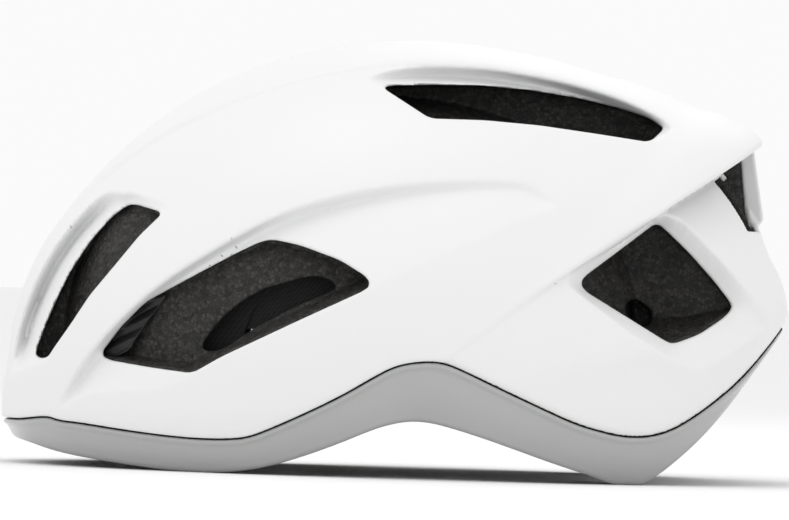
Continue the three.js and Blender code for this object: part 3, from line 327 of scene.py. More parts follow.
def vents_sd(x, y, z, m):
    v = np.minimum(np.maximum(m["vA"], 30 - y), np.maximum(m["vB"], 52 - y))
    v = np.minimum(v, np.maximum(m["vC"], 22 - y))
    v = np.minimum(v, np.maximum(m["vD"], 44 - y))
    tail = smax(m["tail"], np.maximum(7.6 - y, y - 34.0), 3.0)
    front = np.maximum(slot_sd(y, z - 76.0, 9.0, 27.0), x + 40)
    top = np.maximum(slot_sd(y, x + 20.0, 9.0, 38.0), 90 - z)
    return v, tail, front, top


def arch_sd(x, y, z):
    k = np.sqrt((y / 42.0) ** 2 + (np.maximum(z, -20) / 47.0) ** 2) - 1
    return np.maximum(k * 42.0, 50 - x)


def f_upper(x, y, z, m):
    f = fields(x, y, z, m); y = f["y"]
    up = 0.9 * np.exp(-((m["seam"] + 0.2) / 1.1) ** 2)      # soft roll at the bottom edge
    L, U = f["L"] + up, f["U"]
    Uw = smax(U, m["wing"], 2.4)
    outer = smin(L, Uw, 1.5)
    inner = np.minimum(f["Li"] + SKIN, np.maximum(f["Ui"] + SKIN, m["wing"] + 0.3))
    v, tail, front, top = vents_sd(x, y, z, m)
    cut = np.minimum(np.minimum(v, tail), np.minimum(front, top))
    skin = np.maximum(outer, -inner)
    skin = smax(skin, m["seam"] + 0.3, 0.9)
    skin = smax(skin, -cut, 1.1)
    # slot for the tail fin, and the fin's outer strip
    finwin = np.maximum(np.maximum(m["fin"] - 0.4, y - 6.9), -(m["wing"] - 3.0))
    skin = np.maximum(skin, -finwin)
    cap = smax(np.maximum(m["cap"], outer - 9.0), y - 6.3, 1.6)
    return smin(skin, cap, 1.2)


def tuck_of(s):
    """how far the lower skin stands in from the upper one: a narrow lip under the seam, then a face leaning inward"""
    groove = 0.9 * np.clip(1 - (s - 0.2) / 0.9, 0, 1)
    return 0.30 + 0.13 * s + 0.011 * s * s + groove + 0.9 * sstep((s - 1.4) / 1.6)


def f_lower(x, y, z, m):
    f = fields(x, y, z, m); y = f["y"]
    s = f["below"]
    tuck = tuck_of(s)
    L = f["L"] + tuck
    inner = f["L"] + tuck + SKIN
    wrap = np.maximum(L, -(L + 8.0)); wrap = np.maximum(wrap, -(m["rim"] + SKIN))
    skin = np.minimum(np.maximum(L, -inner), wrap)
    skin = smax(skin, -(m["seam"] - 0.3), 0.5)
    skin = smax(skin, m["rim"], 2.2)
    a = arch_sd(x, y, z)
    skin = smax(skin, -a, 2.0)
    return np.maximum(skin, -sd_cavity(x, y, z, 1.0))


def f_foam(x, y, z, m):
    f = fields(x, y, z, m); y = f["y"]
    s = f["below"]
    tuck = (tuck_of(s) + 0.8) * (s > 0)
    L, U = f["Li"] + SKIN + 0.15 + tuck, f["Ui"] + SKIN + 0.15
    outer = smin(L, np.maximum(smax(U, m["wing"] + 0.5, 1.5), m["seam"] + 1.2), 2.0)
    v, tail, front, top = vents_sd(x, y, z, m)
    keep = sd_cavity(x, y, z, 7.0)
    deep = np.maximum(-f["L"] - 1.0, 0)
    v = np.where(m["vB"] < 3.0, smax(v, m["fB"] + 0.30 * deep, 0.8), v)
    v = np.where(m["vD"] < 3.0, smax(v, m["fD"] + 0.42 * deep, 0.8), v)
    pocket = smax(np.minimum(v, tail) + 0.25, -keep, 1.2)
    foam = smax(outer, -pocket, 1.6)
    fin = np.maximum(np.maximum(m["fin"], y - 6.2), -(m["capcut"]))
    fin = smax(fin, U, 0.8)
    foam = smin(foam, fin, 1.5)
    foam = np.maximum(foam, -np.maximum(m["capcut"], y - 7.0))
    foam = smax(foam, m["rim"] + SKIN + 0.2, 1.0)
    cut = np.minimum(front, top) + 0.3
    holes = np.minimum(np.maximum(m["hB"], 40 - y), np.maximum(m["hD"], 34 - y))
    slot = np.maximum(np.maximum(np.abs(x - 35) - 21, np.abs(y - 48) - 5), np.maximum(90 - z, z - 127.5))
    holes = np.minimum(holes, slot)
    foam = smax(foam, -np.minimum(cut, holes), 1.0)
    foam = smax(foam, -sd_cavity(x, y, z), 2.5)
    return smax(foam, -(arch_sd(x, y, z) - 0.3), 2.0)


# ------------------------------------------------------------------ surface from a field
def surface(fn, h, lo, hi):
    x = np.arange(lo[0], hi[0] + h, h, dtype=np.float32)
    z = np.arange(lo[2], hi[2] + h, h, dtype=np.float32)
    y = (-0.5 * h + h * np.arange(int((hi[1]) / h) + 3)).astype(np.float32)
    xx, zz = np.meshgrid(x, z, indexing="ij")
    m = sample(xx, zz)
    m3 = {k: v[:, None, :] for k, v in m.items()}
    F = np.empty((len(x), len(y), len(z)), np.float32)
    step = 48
    for i in range(0, len(x), step):
        sl = slice(i, i + step)
        mm = {k: v[sl] for k, v in m3.items()}
        F[sl] = fn(x[sl, None, None], y[None, :, None], z[None, None, :], mm)
    s = F < 0
    c = [s[a:len(x) - 1 + a, b:len(y) - 1 + b, d:len(z) - 1 + d] for a in (0, 1) for b in (0, 1) for d in (0, 1)]
    tot = np.zeros(c[0].shape, np.int8)
    for q in c:
        tot += q
    mixed = (tot > 0) & (tot < 8)
    idx = np.full(mixed.shape, -1, np.int32)
    I, J, K = np.nonzero(mixed)
    idx[I, J, K] = np.arange(len(I))
    offs = [(a, b, d) for a in (0, 1) for b in (0, 1) for d in (0, 1)]
    V = np.stack([F[I + a, J + b, K + d] for a, b, d in offs], axis=1)
    P = np.array(offs, np.float32)
    acc = np.zeros((len(I), 3), np.float32); cnt = np.zeros(len(I), np.float32)
    for a in range(8):
        for b in range(a + 1, 8):
            if np.abs(P[a] - P[b]).sum() == 1:
                va, vb = V[:, a], V[:, b]
                k = (va < 0) != (vb < 0)
                t = np.where(k, va / np.where(k, va - vb, 1), 0)
                acc += np.where(k[:, None], P[a] + t[:, None] * (P[b] - P[a]), 0)
                cnt += k
    acc /= cnt[:, None]
    verts = np.stack([x[0] + (I + acc[:, 0]) * h, y[0] + (J + acc[:, 1]) * h, z[0] + (K + acc[:, 2]) * h], axis=1)
    quads = []
    for ax in range(3):
        o = [(1, 0, 0), (0, 1, 0), (0, 0, 1)][ax]
        a, b = [(1, 2), (2, 0), (0, 1)][ax]
        n = [len(x), len(y), len(z)]
        r = [slice(1, n[t] - 1) for t in range(3)]; r[ax] = slice(0, n[ax] - 1)
        s0 = s[r[0], r[1], r[2]]
        r2 = list(r); r2[ax] = slice(1, n[ax])
        s1 = s[r2[0], r2[1], r2[2]]
        ch = s0 != s1
        i, j, k = np.nonzero(ch)
        i, j, k = i + (0 if ax == 0 else 1), j + (0 if ax == 1 else 1), k + (0 if ax == 2 else 1)
        e = np.zeros((4, 3), int)
        e[1][a] = -1; e[2][a] = -1; e[2][b] = -1; e[3][b] = -1
        q = np.stack([idx[i + e[t][0], j + e[t][1], k + e[t][2]] for t in range(4)], axis=1)
        flip = s0[ch]
        q[~flip] = q[~flip][:, ::-1]
        quads.append(q)
    quads = np.concatenate(quads)
    quads = quads[(quads >= 0).all(axis=1)]
    seam = J == 0

    def val(p):
        return fn(p[:, 0], p[:, 1], p[:, 2], sample(p[:, 0], p[:, 2]))
    verts[seam, 1] = 0
    for it in range(3):
        e = 0.12
        f0 = val(verts)
        g = np.stack([val(verts + np.array(o, np.float32) * e) - val(verts - np.array(o, np.float32) * e) for o in ((1, 0, 0), (0, 1, 0), (0, 0, 1))], axis=1) / (2 * e)
        g[seam, 1] = 0
        n2 = (g * g).sum(1) + 1e-4
        mv = -(f0 / n2)[:, None] * g
        L = np.linalg.norm(mv, axis=1) + 1e-9
        mv *= np.minimum(1, 0.45 * h / L)[:, None]
        verts = verts + mv
        verts[seam, 1] = 0
    # mirror
    n = len(verts)
    keep = ~seam
    new = np.full(n, -1, int); new[seam] = np.nonzero(seam)[0]; new[keep] = n + np.arange(keep.sum())
    mir = verts[keep].copy(); mir[:, 1] *= -1
    allv = np.vstack([verts, mir]); allq = np.vstack([quads, new[quads][:, ::-1]])
    return allv, allq


def mesh_object(name, verts, faces, smooth=True):
    me = bpy.data.meshes.new(name)
    verts = np.asarray(verts, np.float32) * MM
    faces = np.asarray(faces, np.int32)
    me.vertices.add(len(verts)); me.vertices.foreach_set("co", verts.ravel())
    k = faces.shape[1]
    me.loops.add(faces.size); me.loops.foreach_set("vertex_index", faces.ravel())
    me.polygons.add(len(faces))
    me.polygons.foreach_set("loop_start", np.arange(0, faces.size, k, dtype=np.int32))
    me.polygons.foreach_set("loop_total", np.full(len(faces), k, np.int32))
    me.polygons.foreach_set("use_smooth", np.full(len(faces), smooth, bool))
    me.update(calc_edges=True); me.validate()
    ob = bpy.data.objects.new(name, me)
    bpy.context.scene.collection.objects.link(ob)
    return ob


def apply_mod(ob, kind, **kw):
    md = ob.modifiers.new(kind.lower(), kind)
    for k, v in kw.items():
        setattr(md, k, v)
    bpy.context.view_layer.objects.active = ob
    dg = bpy.context.evaluated_depsgraph_get()
    me = bpy.data.meshes.new_from_object(ob.evaluated_get(dg), depsgraph=dg)
    ob.modifiers.remove(md)
    old = ob.data
    ob.data = me
    me.name = old.name + "_m"
    bpy.data.meshes.remove(old)
    return ob


def largest_island(verts, faces, least=400):
    """drop loose specks left by the field"""
    n = len(verts); lab = np.arange(n)
    f = np.asarray(faces)
    for _ in range(400):
        mn = lab[f].min(axis=1)
        new = lab.copy()
        for k in range(f.shape[1]):
            np.minimum.at(new, f[:, k], mn)
        new = new[new]
        if (new == lab).all():
            break
        lab = new
    u, c = np.unique(lab, return_counts=True)
    ok = np.isin(lab, u[c >= least])
    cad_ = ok[f].all(axis=1)
    m = np.cumsum(ok) - 1
    return verts[ok], m[f[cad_]], [int(v) for v in sorted(c)[-4:]]

# ------------------------------------------------------------------ procedural materials
def new_mat(name):
    m = bpy.data.materials.new(name)
    m.use_nodes = True
    nt = m.node_tree
    nt.nodes.clear()
    out = nt.nodes.new("ShaderNodeOutputMaterial")
    bs = nt.nodes.new("ShaderNodeBsdfPrincipled")
    nt.links.new(bs.outputs[0], out.inputs[0])
    return m, nt, bs


def node(nt, kind, **kw):
    n = nt.nodes.new(kind)
    for k, v in kw.items():
        if k in n.inputs:
            n.inputs[k].default_value = v
        else:
            setattr(n, k, v)
    return n


def coords(nt, scale=(1, 1, 1)):
    tc = nt.nodes.new("ShaderNodeTexCoord")
    mp = nt.nodes.new("ShaderNodeMapping")
    mp.inputs["Scale"].default_value = scale
    nt.links.new(tc.outputs["Object"], mp.inputs["Vector"])
    return mp.outputs[0]


def ramp(nt, fac, stops):
    r = nt.nodes.new("ShaderNodeValToRGB")
    e = r.color_ramp.elements
    while len(e) > len(stops):
        e.remove(e[-1])
    while len(e) < len(stops):
        e.new(0.5)
    for el, (p, c) in zip(e, stops):
        el.position = p
        el.color = (c[0], c[1], c[2], 1) if hasattr(c, "__len__") else (c, c, c, 1)
    nt.links.new(fac, r.inputs[0])
    return r.outputs[0]


def bump(nt, height, bs, strength, dist):
    b = nt.nodes.new("ShaderNodeBump")
    b.inputs["Strength"].default_value = strength
    b.inputs["Distance"].default_value = dist
    nt.links.new(height, b.inputs["Height"])
    nt.links.new(b.outputs[0], bs.inputs["Normal"])
    return b


def shell_mat(name, base, rough, coat, coat_rough, grain=900.0, gb=0.12, vary=0.03):
    """painted or moulded polycarbonate skin: faint drift of tone, fine orange-peel, scuffs in the roughness"""
    m, nt, bs = new_mat(name)
    v = coords(nt)
    n1 = node(nt, "ShaderNodeTexNoise", Scale=9.0, Detail=3.0)
    nt.links.new(v, n1.inputs["Vector"])
    lo = [c * (1 - vary) for c in base]
    hi = [min(1, c * (1 + vary * 0.6)) for c in base]
    nt.links.new(ramp(nt, n1.outputs[0], [(0.3, lo), (0.7, hi)]), bs.inputs["Base Color"])
    n2 = node(nt, "ShaderNodeTexNoise", Scale=65.0, Detail=6.0, Roughness=0.65)
    nt.links.new(v, n2.inputs["Vector"])
    nt.links.new(ramp(nt, n2.outputs[0], [(0.25, rough - 0.02), (0.75, rough + 0.025)]), bs.inputs["Roughness"])
    n3 = node(nt, "ShaderNodeTexNoise", Scale=grain, Detail=2.0)
    nt.links.new(v, n3.inputs["Vector"])
    bump(nt, n3.outputs[0], bs, gb, 0.00006)
    bs.inputs["IOR"].default_value = 1.5
    bs.inputs["Coat Weight"].default_value = coat
    bs.inputs["Coat Roughness"].default_value = coat_rough
    return m


def foam_mat(name, lo, hi, gap, cell=0.0014):
    """expanded polystyrene: fused beads of about 1.4 mm, each a flattened dome with its own tone, darker in the joints"""
    m, nt, bs = new_mat(name)
    v = coords(nt)
    wob = node(nt, "ShaderNodeTexNoise", Scale=260.0, Detail=2.0)
    nt.links.new(v, wob.inputs["Vector"])
    add = node(nt, "ShaderNodeMixRGB", blend_type="ADD")
    add.inputs[0].default_value = 0.0007
    nt.links.new(v, add.inputs[1]); nt.links.new(wob.outputs[1], add.inputs[2])
    e = node(nt, "ShaderNodeTexVoronoi", feature="DISTANCE_TO_EDGE", Scale=1 / cell)
    c = node(nt, "ShaderNodeTexVoronoi", feature="F1", Scale=1 / cell)
    for t in (e, c):
        nt.links.new(add.outputs[0], t.inputs["Vector"])
    sep = node(nt, "ShaderNodeSeparateColor")
    nt.links.new(c.outputs["Color"], sep.inputs[0])
    tone = ramp(nt, sep.outputs[0], [(0.0, lo), (0.55, [0.5 * (a + b) for a, b in zip(lo, hi)]), (1.0, hi)])
    edge = ramp(nt, e.outputs["Distance"], [(0.0, 0.35), (0.10, 0.8), (0.22, 1.0)])
    mix = node(nt, "ShaderNodeMixRGB", blend_type="MIX")
    mix.inputs[1].default_value = (*gap, 1)
    nt.links.new(edge, mix.inputs[0]); nt.links.new(tone, mix.inputs[2])
    nt.links.new(mix.outputs[0], bs.inputs["Base Color"])
    dome = ramp(nt, e.outputs["Distance"], [(0.0, 0.0), (0.12, 0.55), (0.3, 0.85), (0.6, 1.0)])
    fine = node(nt, "ShaderNodeTexNoise", Scale=2600.0, Detail=2.0)
    nt.links.new(v, fine.inputs["Vector"])
    h = node(nt, "ShaderNodeMixRGB", blend_type="MIX")
    h.inputs[0].default_value = 0.12
    nt.links.new(dome, h.inputs[1]); nt.links.new(fine.outputs[0], h.inputs[2])
    bump(nt, h.outputs[0], bs, 0.7, 0.00018)
    nt.links.new(ramp(nt, sep.outputs[1], [(0.0, 0.48), (1.0, 0.70)]), bs.inputs["Roughness"])
    bs.inputs["IOR"].default_value = 1.5
    bs.inputs["Specular IOR Level"].default_value = 0.3
    return m


def plastic_mat(name, base, rough, grain=1500.0, gb=0.25, wear=0.05, coat=0.0):
    """moulded plastic with a spark-eroded grain and slightly polished high spots"""
    m, nt, bs = new_mat(name)
    v = coords(nt)
    n1 = node(nt, "ShaderNodeTexNoise", Scale=40.0, Detail=4.0)
    nt.links.new(v, n1.inputs["Vector"])
    nt.links.new(ramp(nt, n1.outputs[0], [(0.3, [c * 0.85 for c in base]), (0.75, [c * 1.2 + 0.002 for c in base])]), bs.inputs["Base Color"])
    n2 = node(nt, "ShaderNodeTexNoise", Scale=120.0, Detail=5.0, Roughness=0.7)
    nt.links.new(v, n2.inputs["Vector"])
    nt.links.new(ramp(nt, n2.outputs[0], [(0.3, rough - wear), (0.7, rough + wear)]), bs.inputs["Roughness"])
    n3 = node(nt, "ShaderNodeTexVoronoi", feature="SMOOTH_F1", Scale=grain)
    nt.links.new(v, n3.inputs["Vector"])
    bump(nt, n3.outputs["Distance"], bs, gb, 0.00005)
    bs.inputs["Coat Weight"].default_value = coat
    bs.inputs["Coat Roughness"].default_value = 0.15
    return m


def weave_mat(name, base, pitch=0.0011, rough=0.85, sheen=0.35, spec=0.3):
    """woven or knitted cloth: two crossing sets of yarns in object space, each with its own tone"""
    m, nt, bs = new_mat(name)
    v = coords(nt)
    sep = nt.nodes.new("ShaderNodeSeparateXYZ")
    nt.links.new(v, sep.inputs[0])
    waves = []
    for d, axis in ((1, (0.7, 0.75, 0.0)), (2, (0.35, -0.35, 0.9)), (3, (-0.7, 0.55, 0.55))):
        mp = nt.nodes.new("ShaderNodeVectorMath"); mp.operation = "DOT_PRODUCT"
        nt.links.new(v, mp.inputs[0]); mp.inputs[1].default_value = axis
        mu = nt.nodes.new("ShaderNodeMath"); mu.operation = "MULTIPLY"
        nt.links.new(mp.outputs["Value"], mu.inputs[0]); mu.inputs[1].default_value = 2 * math.pi / pitch
        si = nt.nodes.new("ShaderNodeMath"); si.operation = "SINE"
        nt.links.new(mu.outputs[0], si.inputs[0])
        waves.append(si.outputs[0])
    a = nt.nodes.new("ShaderNodeMath"); a.operation = "MULTIPLY"
    nt.links.new(waves[0], a.inputs[0]); nt.links.new(waves[1], a.inputs[1])
    b = nt.nodes.new("ShaderNodeMath"); b.operation = "ADD"
    nt.links.new(a.outputs[0], b.inputs[0]); nt.links.new(waves[2], b.inputs[1])
    mr = nt.nodes.new("ShaderNodeMapRange")
    mr.inputs["From Min"].default_value = -2; mr.inputs["From Max"].default_value = 2
    nt.links.new(b.outputs[0], mr.inputs[0])
    nz = node(nt, "ShaderNodeTexNoise", Scale=120.0, Detail=5.0)
    nt.links.new(v, nz.inputs["Vector"])
    mx = node(nt, "ShaderNodeMixRGB", blend_type="MULTIPLY"); mx.inputs[0].default_value = 0.5
    nt.links.new(ramp(nt, mr.outputs[0], [(0.1, [c * 0.45 for c in base]), (0.75, [c * 1.35 for c in base])]), mx.inputs[1])
    nt.links.new(nz.outputs[0], mx.inputs[2])
    nt.links.new(mx.outputs[0], bs.inputs["Base Color"])
    bump(nt, mr.outputs[0], bs, 0.6, 0.00022)
    bs.inputs["Roughness"].default_value = rough
    bs.inputs["Sheen Weight"].default_value = sheen
    bs.inputs["Sheen Roughness"].default_value = 0.5
    bs.inputs["Specular IOR Level"].default_value = spec
    return m


def metal_mat(name, base, rough):
    m, nt, bs = new_mat(name)
    v = coords(nt)
    n = node(nt, "ShaderNodeTexNoise", Scale=700.0, Detail=3.0)
    nt.links.new(v, n.inputs["Vector"])
    nt.links.new(ramp(nt, n.outputs[0], [(0.3, [c * 0.8 for c in base]), (0.7, base)]), bs.inputs["Base Color"])
    nt.links.new(ramp(nt, n.outputs[0], [(0.3, rough), (0.7, rough + 0.12)]), bs.inputs["Roughness"])
    bs.inputs["Metallic"].default_value = 1.0
    return m


WHITE = shell_mat("white_shell_mat", (0.78, 0.785, 0.78), 0.42, 0.0, 0.3, gb=0.10, vary=0.012)
GREY = shell_mat("grey_shell_mat", (0.40, 0.405, 0.40), 0.30, 0.5, 0.16, gb=0.05, vary=0.03)
EPS = foam_mat("eps_bead_mat", (0.013, 0.0125, 0.012), (0.052, 0.049, 0.046), (0.006, 0.0056, 0.0053))
RUBBER = plastic_mat("grip_rubber_mat", (0.010, 0.010, 0.011), 0.55, grain=2200.0, gb=0.35)
BLACK = plastic_mat("black_plastic_mat", (0.012, 0.012, 0.013), 0.36, coat=0.15)
DIALM = plastic_mat("dial_plastic_mat", (0.020, 0.020, 0.021), 0.42, grain=1200.0, gb=0.3)
WEB = weave_mat("webbing_mat", (0.016, 0.016, 0.017), pitch=0.0016, rough=0.8, sheen=0.25)
PADM = weave_mat("pad_fabric_mat", (0.022, 0.022, 0.024), pitch=0.0012, rough=0.95, sheen=0.6)
STEEL = metal_mat("screw_steel_mat", (0.45, 0.46, 0.48), 0.28)


def set_mat(ob, *mats):
    ob.data.materials.clear()
    for m in mats:
        ob.data.materials.append(m)


# ------------------------------------------------------------------ the three moulded bodies
H = 0.9
LO, HI = (-145, 0, -3), (144, 105, 160)


def body_piece(name, fn, h, mat, slot, limit):
    v, q = surface(fn, h, LO, HI)
    v, q, isl = largest_island(v, q, int(900 / h))
    ob = mesh_object(name, v, q)
    n0 = len(q)
    if 2 * n0 > limit:
        apply_mod(ob, "DECIMATE", ratio=limit / (2.0 * n0), use_collapse_triangulate=False)
        ob.data.polygons.foreach_set("use_smooth", np.ones(len(ob.data.polygons), bool))
    set_mat(ob, mat)
    note(name, n0, "->", len(ob.data.polygons), isl)
    return ob


UPPER = body_piece("white_shell", f_upper, H * 0.9, WHITE, "white_shell", 185000)
LOWER = body_piece("grey_shell", f_lower, H * 0.75, GREY, "grey_shell", 150000)
FOAM = body_piece("foam_liner", f_foam, H * 0.9, EPS, "eps_foam", 190000)
for ob, nd, sl in ((UPPER, "upper_shell", "white_shell"), (LOWER, "lower_shell", "grey_shell"), (FOAM, "eps_liner", "eps_foam")):
    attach(ob, "helmet"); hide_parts(nd)

# ------------------------------------------------------------------ the head cavity as a surface to place things on
def spw(v, p):
    return np.sign(v) * np.abs(v) ** p


def cavity(a, t, off=0.0):
    """a: azimuth in degrees, 0 rear, 90 right, 180 front; t: degrees up the dome, or mm below it when negative; off: inwards"""
    c = CAV; q = 2 / c["p"]
    a, t = np.asarray(a, float), np.asarray(t, float)
    a, t = np.broadcast_arrays(a, t)
    ca, sa = spw(np.cos(np.radians(a)), q), spw(np.sin(np.radians(a)), q)
    tt = np.radians(np.maximum(t, 0))
    ce, se = np.cos(tt) ** q, np.sin(tt) ** q
    X, Y, Z = c["a"] * ce * ca, c["b"] * ce * sa, c["c"] * se
    n = np.stack([spw(X / c["a"], c["p"] - 1) / c["a"], spw(Y / c["b"], c["p"] - 1) / c["b"], spw(Z / c["c"], c["p"] - 1) / c["c"]], -1)
    n /= np.linalg.norm(n, axis=-1, keepdims=True)
    p = np.stack([c["x"] + X, Y, c["z"] + Z + np.minimum(t, 0)], -1)
    return p - n * np.asarray(off)[..., None], n


def crown(b, y, off=0.0):
    c = CAV; q = 2 / c["p"]
    b, y = np.broadcast_arrays(np.asarray(b, float), np.asarray(y, float))
    s = (1 - (np.abs(y) / c["b"]) ** c["p"]) ** (1 / c["p"])
    X, Z = c["a"] * s * spw(np.sin(np.radians(b)), q), c["c"] * s * spw(np.cos(np.radians(b)), q)
    n = np.stack([spw(X / c["a"], c["p"] - 1) / c["a"], spw(y / c["b"], c["p"] - 1) / c["b"], spw(Z / c["c"], c["p"] - 1) / c["c"]], -1)
    n /= np.linalg.norm(n, axis=-1, keepdims=True)
    return np.stack([c["x"] + X, y, c["z"] + Z], -1) - n * np.asarray(off)[..., None], n


def catmull(P, n):
    """centripetal curve through the points, sampled n+1 times evenly in length"""
    P = np.array(P, float)
    A = np.vstack([2 * P[0] - P[1], P, 2 * P[-1] - P[-2]])
    out = []
    for i in range(1, len(A) - 2):
        p0, p1, p2, p3 = A[i - 1], A[i], A[i + 1], A[i + 2]
        d = [max(1e-3, np.linalg.norm(b - a) ** 0.5) for a, b in ((p0, p1), (p1, p2), (p2, p3))]
        t0, t1 = 0, d[0]; t2 = t1 + d[1]; t3 = t2 + d[2]
        for t in np.linspace(t1, t2, 24, endpoint=False):
            a1 = (t1 - t) / (t1 - t0) * p0 + (t - t0) / (t1 - t0) * p1
            a2 = (t2 - t) / (t2 - t1) * p1 + (t - t1) / (t2 - t1) * p2
            a3 = (t3 - t) / (t3 - t2) * p2 + (t - t2) / (t3 - t2) * p3
            b1 = (t2 - t) / (t2 - t0) * a1 + (t - t0) / (t2 - t0) * a2
            b2 = (t3 - t) / (t3 - t1) * a2 + (t - t1) / (t3 - t1) * a3
            out.append((t2 - t) / (t2 - t1) * b1 + (t - t1) / (t2 - t1) * b2)
    out.append(A[-2])
    out = np.array(out)
    s = np.r_[0, np.cumsum(np.linalg.norm(np.diff(out, axis=0), axis=1))]
    g = np.linspace(0, s[-1], n + 1)
    return np.stack([np.interp(g, s, out[:, k]) for k in range(3)], -1), g


def ribbon(name, pts, nrm, width, thick, steps, bulge=0.0, edge=0.45, ends=True, taper=None):
    """a band with rounded edges along a path; nrm points away from the head"""
    P, g = catmull(pts, steps)
    N, _ = catmull(nrm, steps)
    # match the normals to the path by control index
    T = np.gradient(P, axis=0); T /= np.linalg.norm(T, axis=1, keepdims=True)
    N = N - (N * T).sum(1, keepdims=True) * T
    N /= np.linalg.norm(N, axis=1, keepdims=True)
    B = np.cross(N, T)
    k = 22
    th = 2 * np.pi * np.arange(k) / k
    cu, cv = np.sign(np.cos(th)) * np.abs(np.cos(th)) ** 0.55, np.sign(np.sin(th)) * np.abs(np.sin(th)) ** 0.55
    verts = []
    for i in range(steps + 1):
        w = width * (taper(i / steps) if taper else 1.0)
        e = min(i, steps - i) * g[1]
        sc = 1.0 if not ends else min(1.0, 0.80 + 0.2 * min(1.0, e / 0.8))
        hump = bulge * np.maximum(0, 1 - (2 * cu * 0.5) ** 2)
        u, v = cu * w * 0.5 * sc, cv * (thick * 0.5) * (1 - edge * np.abs(cu) ** 6) + np.where(cv > 0, hump, 0)
        verts.append(P[i] + B[i] * u[:, None] + N[i] * v[:, None])
    V = np.concatenate(verts)
    F = []
    for i in range(steps):
        for j in range(k):
            a, b = i * k + j, i * k + (j + 1) % k
            F.append((a, b, b + k, a + k))
    F = np.array(F)
    V = np.vstack([V, P[0], P[-1]])
    caps = []
    c0, c1 = len(V) - 2, len(V) - 1
    ob = None
    me = bpy.data.meshes.new(name)
    faces = [tuple(int(q) for q in f) for f in F]
    for j in range(k):
        faces.append((j, c0, (j + 1) % k)); faces.append((steps * k + j, steps * k + (j + 1) % k, c1))
    me.from_pydata([tuple(q) for q in (V * MM)], [], faces)
    bm = bmesh.new(); bm.from_mesh(me)
    bmesh.ops.recalc_face_normals(bm, faces=bm.faces)
    bm.to_mesh(me); bm.free()
    me.polygons.foreach_set("use_smooth", np.ones(len(me.polygons), bool))
    ob = bpy.data.objects.new(name, me)
    bpy.context.scene.collection.objects.link(ob)
    return ob


def pad(name, place, a0, a1, t0, t1, off0, off1, corner=8.0, chans=(), nu=90, nv=34, size=None):
    """a sewn foam pad that follows the dome: thin welted edge, crowned middle, sewn channels across"""
    la, lt = size
    T = off1 - off0
    uu = np.linspace(-1, 1, nu); vv = np.linspace(-1, 1, nv)
    U, Vv = np.meshgrid(uu, vv, indexing="ij")
    y = Vv * lt / 2
    R = min(corner, lt / 2 - 0.5)
    xl = la / 2 - R + np.sqrt(np.maximum(0, R * R - np.maximum(0, np.abs(y) - (lt / 2 - R)) ** 2))
    x = U * xl
    d = np.minimum(lt / 2 - np.abs(y), xl - np.abs(x))
    h = 1.1 + (T - 1.1) * sstep((d - 1.5) / 5.0) ** 0.7
    h = np.where(d < 1.5, 1.1 * np.sqrt(np.clip(d / 0.9, 0, 1)), h)
    for c in chans:
        cx = c * la / 2
        h = h - (T * 0.42) * np.exp(-((x - cx) / 1.6) ** 2) * sstep((d - 1.2) / 3.0)
    a = (a0 + a1) / 2 + (a1 - a0) / 2 * (x / (la / 2)); t = (t0 + t1) / 2 + (t1 - t0) / 2 * (y / (lt / 2))
    p1, n1 = place(a, t, off0 + np.maximum(h, 0.05))
    p0, _ = place(a, t, np.full(a.shape, off0))
    n = nu * nv
    V = np.vstack([p1.reshape(-1, 3), p0.reshape(-1, 3)])
    idx = np.arange(n).reshape(nu, nv)
    F = [np.stack([idx[:-1, :-1], idx[1:, :-1], idx[1:, 1:], idx[:-1, 1:]], -1).reshape(-1, 4)]
    F.append(F[0][:, ::-1] + n)
    ring = np.r_[idx[:, 0], idx[-1, 1:], idx[-2::-1, -1], idx[0, -2:0:-1]]
    rr = np.roll(ring, -1)
    F.append(np.stack([ring + n, rr + n, rr, ring], -1))
    ob = mesh_object(name, V, np.concatenate(F))
    bm = bmesh.new(); bm.from_mesh(ob.data)
    bmesh.ops.remove_doubles(bm, verts=bm.verts, dist=2e-5)
    bmesh.ops.recalc_face_normals(bm, faces=bm.faces)
    bm.to_mesh(ob.data); bm.free()
    ob.data.polygons.foreach_set("use_smooth", np.ones(len(ob.data.polygons), bool))
    set_mat(ob, PADM)
    return ob


def put(ob, body, nodes, mat=None):
    if mat is not None:
        set_mat(ob, mat)
    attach(ob, body)
    if nodes:
        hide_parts(*nodes)
    return ob


SIDES = ((-1, "left"), (1, "right"))
put(pad("brow_pad_soft", cavity, 129, 231, -13.5, 3.5, 5.3, 10.3, size=(118, 17), corner=7, chans=(-0.62, -0.22, 0.22, 0.62)), "helmet", ["brow_pad"])
put(pad("crown_pad_center_soft", crown, -43, 31, -10.5, 10.5, 1.0, 6.3, size=(118, 21), corner=9, chans=(-0.33, 0.33)), "helmet", ["crown_pad_center"])
for s, side in SIDES:
    lo, hi = (25.5, 39.5) if s > 0 else (-39.5, -25.5)
    put(pad("crown_pad_%s_soft" % side, crown, -45, 35, lo, hi, 1.0, 6.3, size=(122, 14), corner=6, chans=(-0.33, 0.33)), "helmet", ["crown_pad_" + side])
    a0, a1 = (91.5, 141) if s > 0 else (-141, -91.5)
    put(pad("side_pad_%s_soft" % side, cavity, a0, a1, 6, 24, 3.3, 7.5, size=(66, 26), corner=10, chans=(-0.3, 0.3)), "helmet", ["side_pad_" + side])

# ---- webbing
DIV_A, DIV_T, WEB_W, WEB_T = 97.0, 34.0, 14.6, 1.15


def elevation_at(a, t, length):
    k, acc = t, 0.0
    d = math.copysign(0.25, length)
    while acc < abs(length):
        p, _ = cavity(a, k); q, _ = cavity(a, k + d)
        acc += np.linalg.norm(q - p); k += d
    return k


def wall_path(lst):
    P = [cavity(a, t, o) for a, t, o in lst]
    return [p for p, n in P], [n for p, n in P]


